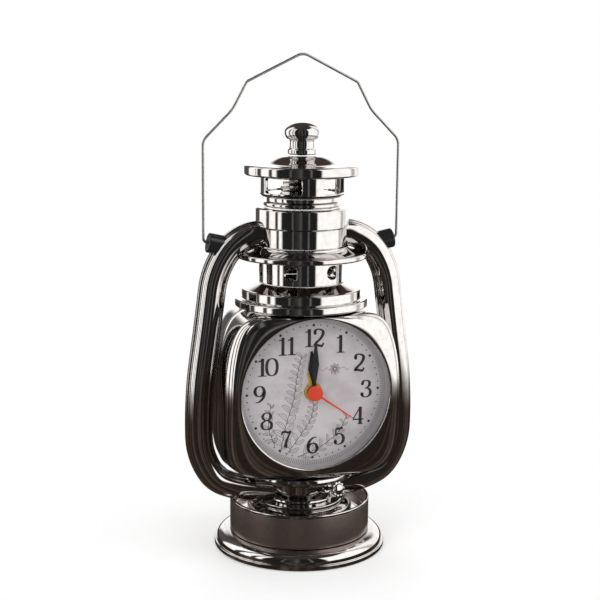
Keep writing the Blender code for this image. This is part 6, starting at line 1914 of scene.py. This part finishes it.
@dataclass
class BackWork(SubAssembly):
    """Small pieces on the clock's back: bead, screws, guard rings, knob caps, cover and ridges."""

    face_y: float = 0.0220
    bead_half: float = 0.0270
    bead_width: float = 0.0013
    bead_rise: float = 0.0007
    sink: float = 0.0002
    screw_places: tuple[Pair, ...] = (
        (0.0242, 0.0242), (-0.0242, 0.0242), (0.0242, -0.0092), (-0.0242, -0.0092))
    screw_radius: float = 0.0013
    screw_rise: float = 0.0007
    slot_depth: float = 0.0004
    slot_half_width: float = 0.00016
    slot_reach: float = 0.00085
    knobs: tuple[tuple[str, float, float], ...] = (
        ("time_set", 0.00765, 0.0132502), ("alarm_set", -0.0074246, 0.0074246))
    knob_radius: float = 0.0050
    knob_flutes: int = 24
    flute_depth: float = 0.00022
    guard_inner: float = 0.0057
    guard_outer: float = 0.0066
    guard_rise: float = 0.0006
    cover_low: float = -0.02515
    cover_high: float = -0.01255
    cover_half_width: float = 0.0252
    cover_corner: float = 0.0006
    cover_thickness: float = 0.0016
    rib_pitch: float = 0.0011
    switch_x: float = 0.0160
    switch_up: float = 0.0205
    switch_rise: float = 0.0021
    switch_travel: float = 0.0040
    ridges: int = 4

    def place(self, x: float, up: float) -> Matrix:
        """Matrix that carries +Z at the origin out of the case's back at a place on the dial."""
        return Matrix.Translation((x, self.face_y, DIAL_Z + up)) @ Matrix.Rotation(
            -math.pi / 2, 4, "X")

    def bar(self, width: float, height: float, low: float, high: float, x: float,
            up: float) -> list[Patch]:
        """Low bar with rounded rims at a place on the back.

        Args:
            width: Width of the bar.
            height: Height of the bar.
            low: Distance of its foot from the back.
            high: Distance of its top from the back.
            x: Place to the side.
            up: Place over the dial's middle.

        Returns:
            Patches of the bar.
        """
        outline = oblong(width, height, 0.45 * min(width, height))
        return [patch.moved(self.place(x, up)) for patch in slab(outline, low, high, 0.0002)]

    def build_bead(self) -> None:
        """Half-round bead along the edge of the case: inset w (1 - cos a) / 2, rise h sin a."""
        body, half, width, low = ClockBody(), self.bead_half, self.bead_width, self.face_y - 0.0004
        loops = [body.case_loop(half - width * (1 - math.cos(a)) / 2, self.face_y + self.bead_rise
                                * math.sin(a)) for a in np.linspace(0, math.pi, 13)]
        loops += [body.case_loop(half - width, low), body.case_loop(half, low), loops[0]]
        Shell("case_bead", [Patch.over(np.stack(loops), True, True)]).piece(BLACK)

    def build_screws(self) -> None:
        """Four pan heads with a cross recess: a dome less a smooth cross of two slots."""
        t = np.linspace(0, math.tau, 65)
        share = np.concatenate((np.linspace(0, 0.72, 14), np.linspace(0.76, 1, 8)))[::-1, None]
        x, y = self.screw_radius * share * np.cos(t), self.screw_radius * share * np.sin(t)
        dome = self.screw_rise * np.sqrt(np.clip(1.02 - share ** 4, 0, 1))
        slot = 1 / (1 + np.exp((np.minimum(np.abs(x), np.abs(y)) - self.slot_half_width) / 0.00003))
        slot = slot / (1 + np.exp((np.hypot(x, y) - self.slot_reach) / 0.00005))
        top = np.stack((x, y, dome - self.slot_depth * slot), axis=-1)
        low = np.full(len(t), -self.sink)
        foot, base = (np.stack((x[0] * k, y[0] * k, low), axis=-1)[None] for k in (1, 0))
        head = Patch.over(np.concatenate((base, foot, top)), wrap_columns=True)
        Shell("case_screws", [head.moved(self.place(*at)) for at in self.screw_places]).piece(IRON)

    def build_knobs(self) -> None:
        """Fluted caps over both setting knobs; a row holds a cap's inset and rise."""
        t = np.linspace(0, math.tau, self.knob_flutes * 12 + 1)
        flute = self.flute_depth * (1 - np.abs(np.cos(self.knob_flutes * t / 2)))
        rows = np.array(((0.0050, 0.0004), (0.0002, 0.0004), (0.0, 0.0006), (0.0, 0.0033),
                         (0.0001, 0.0036), (0.0004, 0.0038), (0.0008, 0.0039), (0.0012, 0.0038),
                         (0.0018, 0.0036), (0.0034, 0.0035), (0.0050, 0.0035)))
        inset, rise = rows[:, :1], rows[:, 1:]
        reach = (self.knob_radius - inset) - flute * np.maximum(0.0, 1 - inset / 0.0009)
        lattice = np.concatenate(
            (circle(reach, t), np.broadcast_to(rise, reach.shape)[..., None]), axis=-1)
        for name, x, up in self.knobs:
            cap = Patch.over(lattice, wrap_columns=True).moved(self.place(x, up))
            Shell(f"{name}_cap", [cap]).piece(BLACK, name)

    def build_guards(self) -> None:
        """Guard ring round each setting knob."""
        lo, hi, sink, rise = self.guard_inner, self.guard_outer, -self.sink, self.guard_rise
        ring = turned(
            rounded([(lo, sink), (hi, sink), (hi, rise), (lo, rise)], [0, 0, 0.0003, 0.0003]), 72)
        rings = [ring.moved(self.place(x, up)) for _, x, up in self.knobs]
        Shell("knob_guards", rings).piece(BLACK)

    def build_cover(self) -> None:
        """Battery cover: a plate with rounded rims and four grip ribs."""
        outline = oblong(2 * self.cover_half_width, self.cover_high - self.cover_low,
                         self.cover_corner)
        middle = self.place(0.0, (self.cover_low + self.cover_high) / 2)
        plate = [patch.moved(middle) for patch in slab(outline, -self.cover_thickness, 0.0, 0.0005)]
        Shell("cell_cover", plate).piece(BLACK, "battery_cover", ["battery_cover"])
        ribs = []
        for k in range(self.ridges):
            up = self.cover_high - 0.0012 - self.rib_pitch * k
            ribs += self.bar(0.0120, 0.0006, -self.sink, 0.0006, 0.0, up)
        Shell("cover_grip", ribs).piece(BLACK, "battery_cover")

    def build_switch(self) -> None:
        """Ridges on the switch's block, and a pale and an orange dot at its two stops."""
        ridges = []
        for k in range(self.ridges):
            ridges += self.bar(
                0.00045, 0.0032, self.switch_rise - 0.0003, self.switch_rise + 0.0003,
                self.switch_x - 0.00165 + self.rib_pitch * k, self.switch_up)
        Shell("switch_ridges", ridges).piece(BLACK, "alarm_switch")
        dot = turned(rounded([(0, -0.0001), (0.0005, -0.0001), (0.0005, 0.00015), (0, 0.00015)],
                             [0, 0, 0.0001, 0], False), 32, False)
        for name, x, finish in (("off_dot", self.switch_x, WHITE_MOULD),
                                ("on_dot", self.switch_x + self.switch_travel, HAND_ORANGE)):
            Shell(name, [dot.moved(self.place(x, self.switch_up - 0.0034))]).piece(finish)


def dress_solids() -> None:
    """Give every solid that still shows a finish of its own, by assigning its slots."""
    for name, node in sorted(bpy.data.objects.items()):
        if node.get("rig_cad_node") is None or node.hide_render:
            continue
        finish = INNER_FINISHES.get(name, BLACK)
        node.data.materials.clear()
        node.data.materials.append(finish.material())
        LOG.info("solid %s wears %s", name, finish.name)


# Studio

@dataclass
class Studio(SubAssembly):
    """Camera, pale floor, soft lamps and the white room that the plating mirrors."""

    place: tuple[float, float, float] = (-0.1555, -0.5640, 0.2228)
    azimuth: float = math.radians(15.41)
    pitch: float = math.radians(10.39)
    roll: float = math.radians(0.51)
    lens: float = 77.72
    shift: float = -0.0016
    mirrored_light: float = 1.7
    soft_light: float = 0.72
    door_tone: Colour = (0.045, 0.032, 0.027)
    ceiling_tone: Colour = (0.035, 0.031, 0.03)
    floor_z: float = -0.0002
    floor_rings: tuple[float, ...] = (0.0, 0.04, 0.08, 0.14, 0.24, 0.40, 0.95)
    floor_lift: float = 0.12
    floor_fade: Pair = (0.036, 0.125)
    table_dark: Colour = (0.028, 0.021, 0.017)
    table_light: Colour = (0.155, 0.118, 0.094)
    table_fade: Pair = (0.27, 0.60)
    wall_tones: tuple[Pair, ...] = (
        (-180, 0.85), (-160, 0.85), (-155, 0.08), (-129, 0.06), (-123, 1.0), (-99, 1.0),
        (-96, 0.05), (-88, 0.05), (-85, 1.0), (-69, 1.0), (-67, 0.05), (-61, 0.05), (-59, 1.0),
        (-53, 1.0), (-49, 0.015), (-25, 0.012), (-22, 0.10), (-19, 0.012), (-7, 0.03), (-2, 0.07),
        (3, 0.012), (15, 0.012), (18, 0.13), (21, 0.012), (37, 0.012), (41, 1.0), (106, 1.0),
        (114, 0.42), (120, 0.5), (126, 0.9), (180, 0.85))

    def build_camera(self) -> None:
        """Camera at the fitted place: look along f, lean by the roll about f."""
        sine, cosine, level = math.sin(self.azimuth), math.cos(self.azimuth), math.cos(self.pitch)
        look = Vector((sine * level, cosine * level, -math.sin(self.pitch)))
        right = Vector((cosine, -sine, 0))
        tilted = right * math.cos(self.roll) + right.cross(look) * math.sin(self.roll)
        above = tilted.cross(look)
        data = bpy.data.cameras.new("front_camera")
        data.lens, data.sensor_width, data.sensor_fit = self.lens, 36.0, "HORIZONTAL"
        data.shift_x = self.shift
        data.clip_start, data.clip_end = 0.01, 20.0
        camera = bpy.data.objects.new("front_camera", data)
        columns = zip(tilted, above, -look, self.place)
        camera.matrix_world = Matrix([*columns, (0, 0, 0, 1)])
        bpy.context.scene.collection.objects.link(camera)
        bpy.context.scene.camera = camera

    def build_world(self) -> None:
        """White to the camera, plain soft light on matt surfaces, and a studio in mirrors.

        In mirrors the room goes by the ray's turn about the vertical, from -180 to 180 degrees
        with 0 towards the camera, and by its height: a dark gap at the front between two tall
        bright screens, a pale wall behind with a dark doorway high in it, and a dark ceiling.
        """
        world = bpy.data.worlds.new("studio_room")
        world.use_nodes = True
        bpy.context.scene.world = world
        desk = NodeDesk(world.node_tree)
        x, y, z = desk.split(desk.add("TexCoord").outputs["Generated"])
        turn, ahead = self.turn_of(desk, x, y)
        wall = desk.ramp(turn, [(degrees / 360 + 0.5, (tone, tone * 0.985, tone * 0.97))
                                for degrees, tone in self.wall_tones])
        level = desk.math("SQRT", desk.math("SUBTRACT", 1.0001, desk.times(z, z)))
        behind = desk.spread(desk.math("DIVIDE", ahead, level), -0.80, -0.94, 0.0, 1.0)
        door = desk.times(behind, desk.spread(z, 0.34, 0.50))
        room = desk.mix(desk.spread(z, 0.80, 0.88), desk.mix(door, wall, self.door_tone),
                        self.ceiling_tone)
        mirrored, soft, white = (
            desk.add("Background", in_Color=colour, in_Strength=light).outputs[0] for colour,
            light in ((room, self.mirrored_light), ((1.0, 0.99, 0.985, 1.0), self.soft_light),
                      ((1, 1, 1, 1), 1.0)))
        path = desk.add("LightPath")
        inner = desk.blend(desk.mirrored(path), soft, mirrored)
        desk.add("OutputWorld", in_Surface=desk.blend(path.outputs["Is Camera Ray"], inner, white))

    def turn_of(self, desk: NodeDesk, x: Socket, y: Socket) -> tuple[Socket, Socket]:
        """Turn of (x, y) about the vertical, and its way towards the camera.

        Args:
            desk: Desk of the nodes.
            x: First coordinate.
            y: Second coordinate.

        Returns:
            The turn from 0 to 1, with 0.5 at the front, and the way ahead.
        """
        sine, cosine = math.sin(self.azimuth), math.cos(self.azimuth)
        ahead = desk.math("ADD", desk.times(x, -sine), desk.times(y, -cosine))
        aside = desk.math("ADD", desk.times(x, cosine), desk.times(y, -sine))
        turn = desk.math("MULTIPLY_ADD", desk.math("ARCTAN2", aside, ahead), 1 / math.tau, 0.5)
        return turn, ahead

    def build_floor(self) -> None:
        """Pale floor that fades into the white room; mirrors see a dark table with an edge."""
        t, r = np.linspace(0, math.tau, 97), np.array(self.floor_rings)[:, None]
        flat = circle(r, t)
        points = np.concatenate((flat, np.full(flat.shape[:2] + (1,), self.floor_z)), axis=-1)
        floor = bpy.data.objects.new(
            "floor", Shell("floor", [Patch.over(points).facing(UP)]).mesh(False))
        bpy.context.scene.collection.objects.link(floor)
        floor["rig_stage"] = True
        paint = bpy.data.materials.new("pale_floor")
        paint.use_nodes = True
        desk = NodeDesk(paint.node_tree)
        x, y, _ = desk.split(desk.add("TexCoord").outputs["Object"])
        reach = desk.reach(x, y)
        path = desk.add("LightPath")
        clear = desk.add("BsdfTransparent").outputs[0]
        matt = desk.add("BsdfDiffuse", in_Color=(0.93, 0.93, 0.93, 1)).outputs[0]
        lift = desk.add("Emission", in_Color=(1, 1, 1, 1), in_Strength=desk.times(
            path.outputs["Is Camera Ray"], self.floor_lift)).outputs[0]
        pale = desk.add("AddShader", in_0=matt, in_1=lift).outputs[0]
        seen = desk.blend(desk.spread(reach, *self.floor_fade, 1.0, 0.0), clear, pale)
        turn, _ = self.turn_of(desk, x, y)
        wheel = desk.add("CombineXYZ", in_X=desk.times(turn, 24.0), in_Y=desk.times(reach, 1.6))
        streaks = desk.noise(wheel.outputs[0], 1.0, 2.0, 0.5)
        tone = desk.mix(desk.spread(streaks, 0.44, 0.76), self.table_dark, self.table_light)
        rear_left = desk.spread(desk.math("ABSOLUTE", desk.math("SUBTRACT", turn, 0.5 - 148 / 360)),
                                0.03, 0.075, 0.56, 1.0)
        edge = desk.spread(desk.times(reach, rear_left), *self.table_fade, 1.0, 0.0)
        table = desk.add("Emission", in_Color=tone, in_Strength=1.0).outputs[0]
        dark = desk.blend(edge, clear, table)
        desk.add("OutputMaterial", in_Surface=desk.blend(desk.mirrored(path), seen, dark))
        floor.data.materials.append(paint)

    def build_lamps(self) -> None:
        """Three soft lamps for the matt pieces, which mirrors don't show, and the plain view."""
        for name, where, power, size in (("left_screen", (-0.9, -0.7, 0.8), 5.0, 0.8), (
            "right_screen", (0.9, -0.5, 0.9), 4.0,
            0.8), ("rear_screen", (0.2, 1.1, 0.9), 4.0, 0.9)):
            data = bpy.data.lights.new(name, "AREA")
            data.energy, data.size = power, size
            lamp = bpy.data.objects.new(name, data)
            lamp.location = where
            lamp.rotation_euler = (Vector((0, 0, 0.09)) - lamp.location).to_track_quat(
                "-Z", "Y").to_euler()
            lamp.visible_glossy = False
            bpy.context.scene.collection.objects.link(lamp)
        bpy.context.scene.view_settings.view_transform = "Standard"


def plain(box: object) -> object:
    """A box as plain lists of numbers."""
    return [[float(x) for x in corner] for corner in box]


def main() -> None:
    """Load the solids, build and dress every sub-assembly, and work out both boxes' sizes."""
    logging.basicConfig(level=logging.INFO, format="%(name)s: %(message)s")
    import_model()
    solid_box = plain(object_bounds())
    parts = [TankBase(), LanternTop(), AirTube(Side.LEFT), AirTube(Side.RIGHT), BailWork(),
             WickWork(), ClockBody(), DialWork(), HandSet(), BackWork(), Studio()]
    for part in parts:
        LOG.info("building %s", type(part).__name__)
        part.build()
    dress_solids()
    json.dumps({"cad": solid_box, "visual": plain(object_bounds())})


if __name__ == "__main__":
    main()
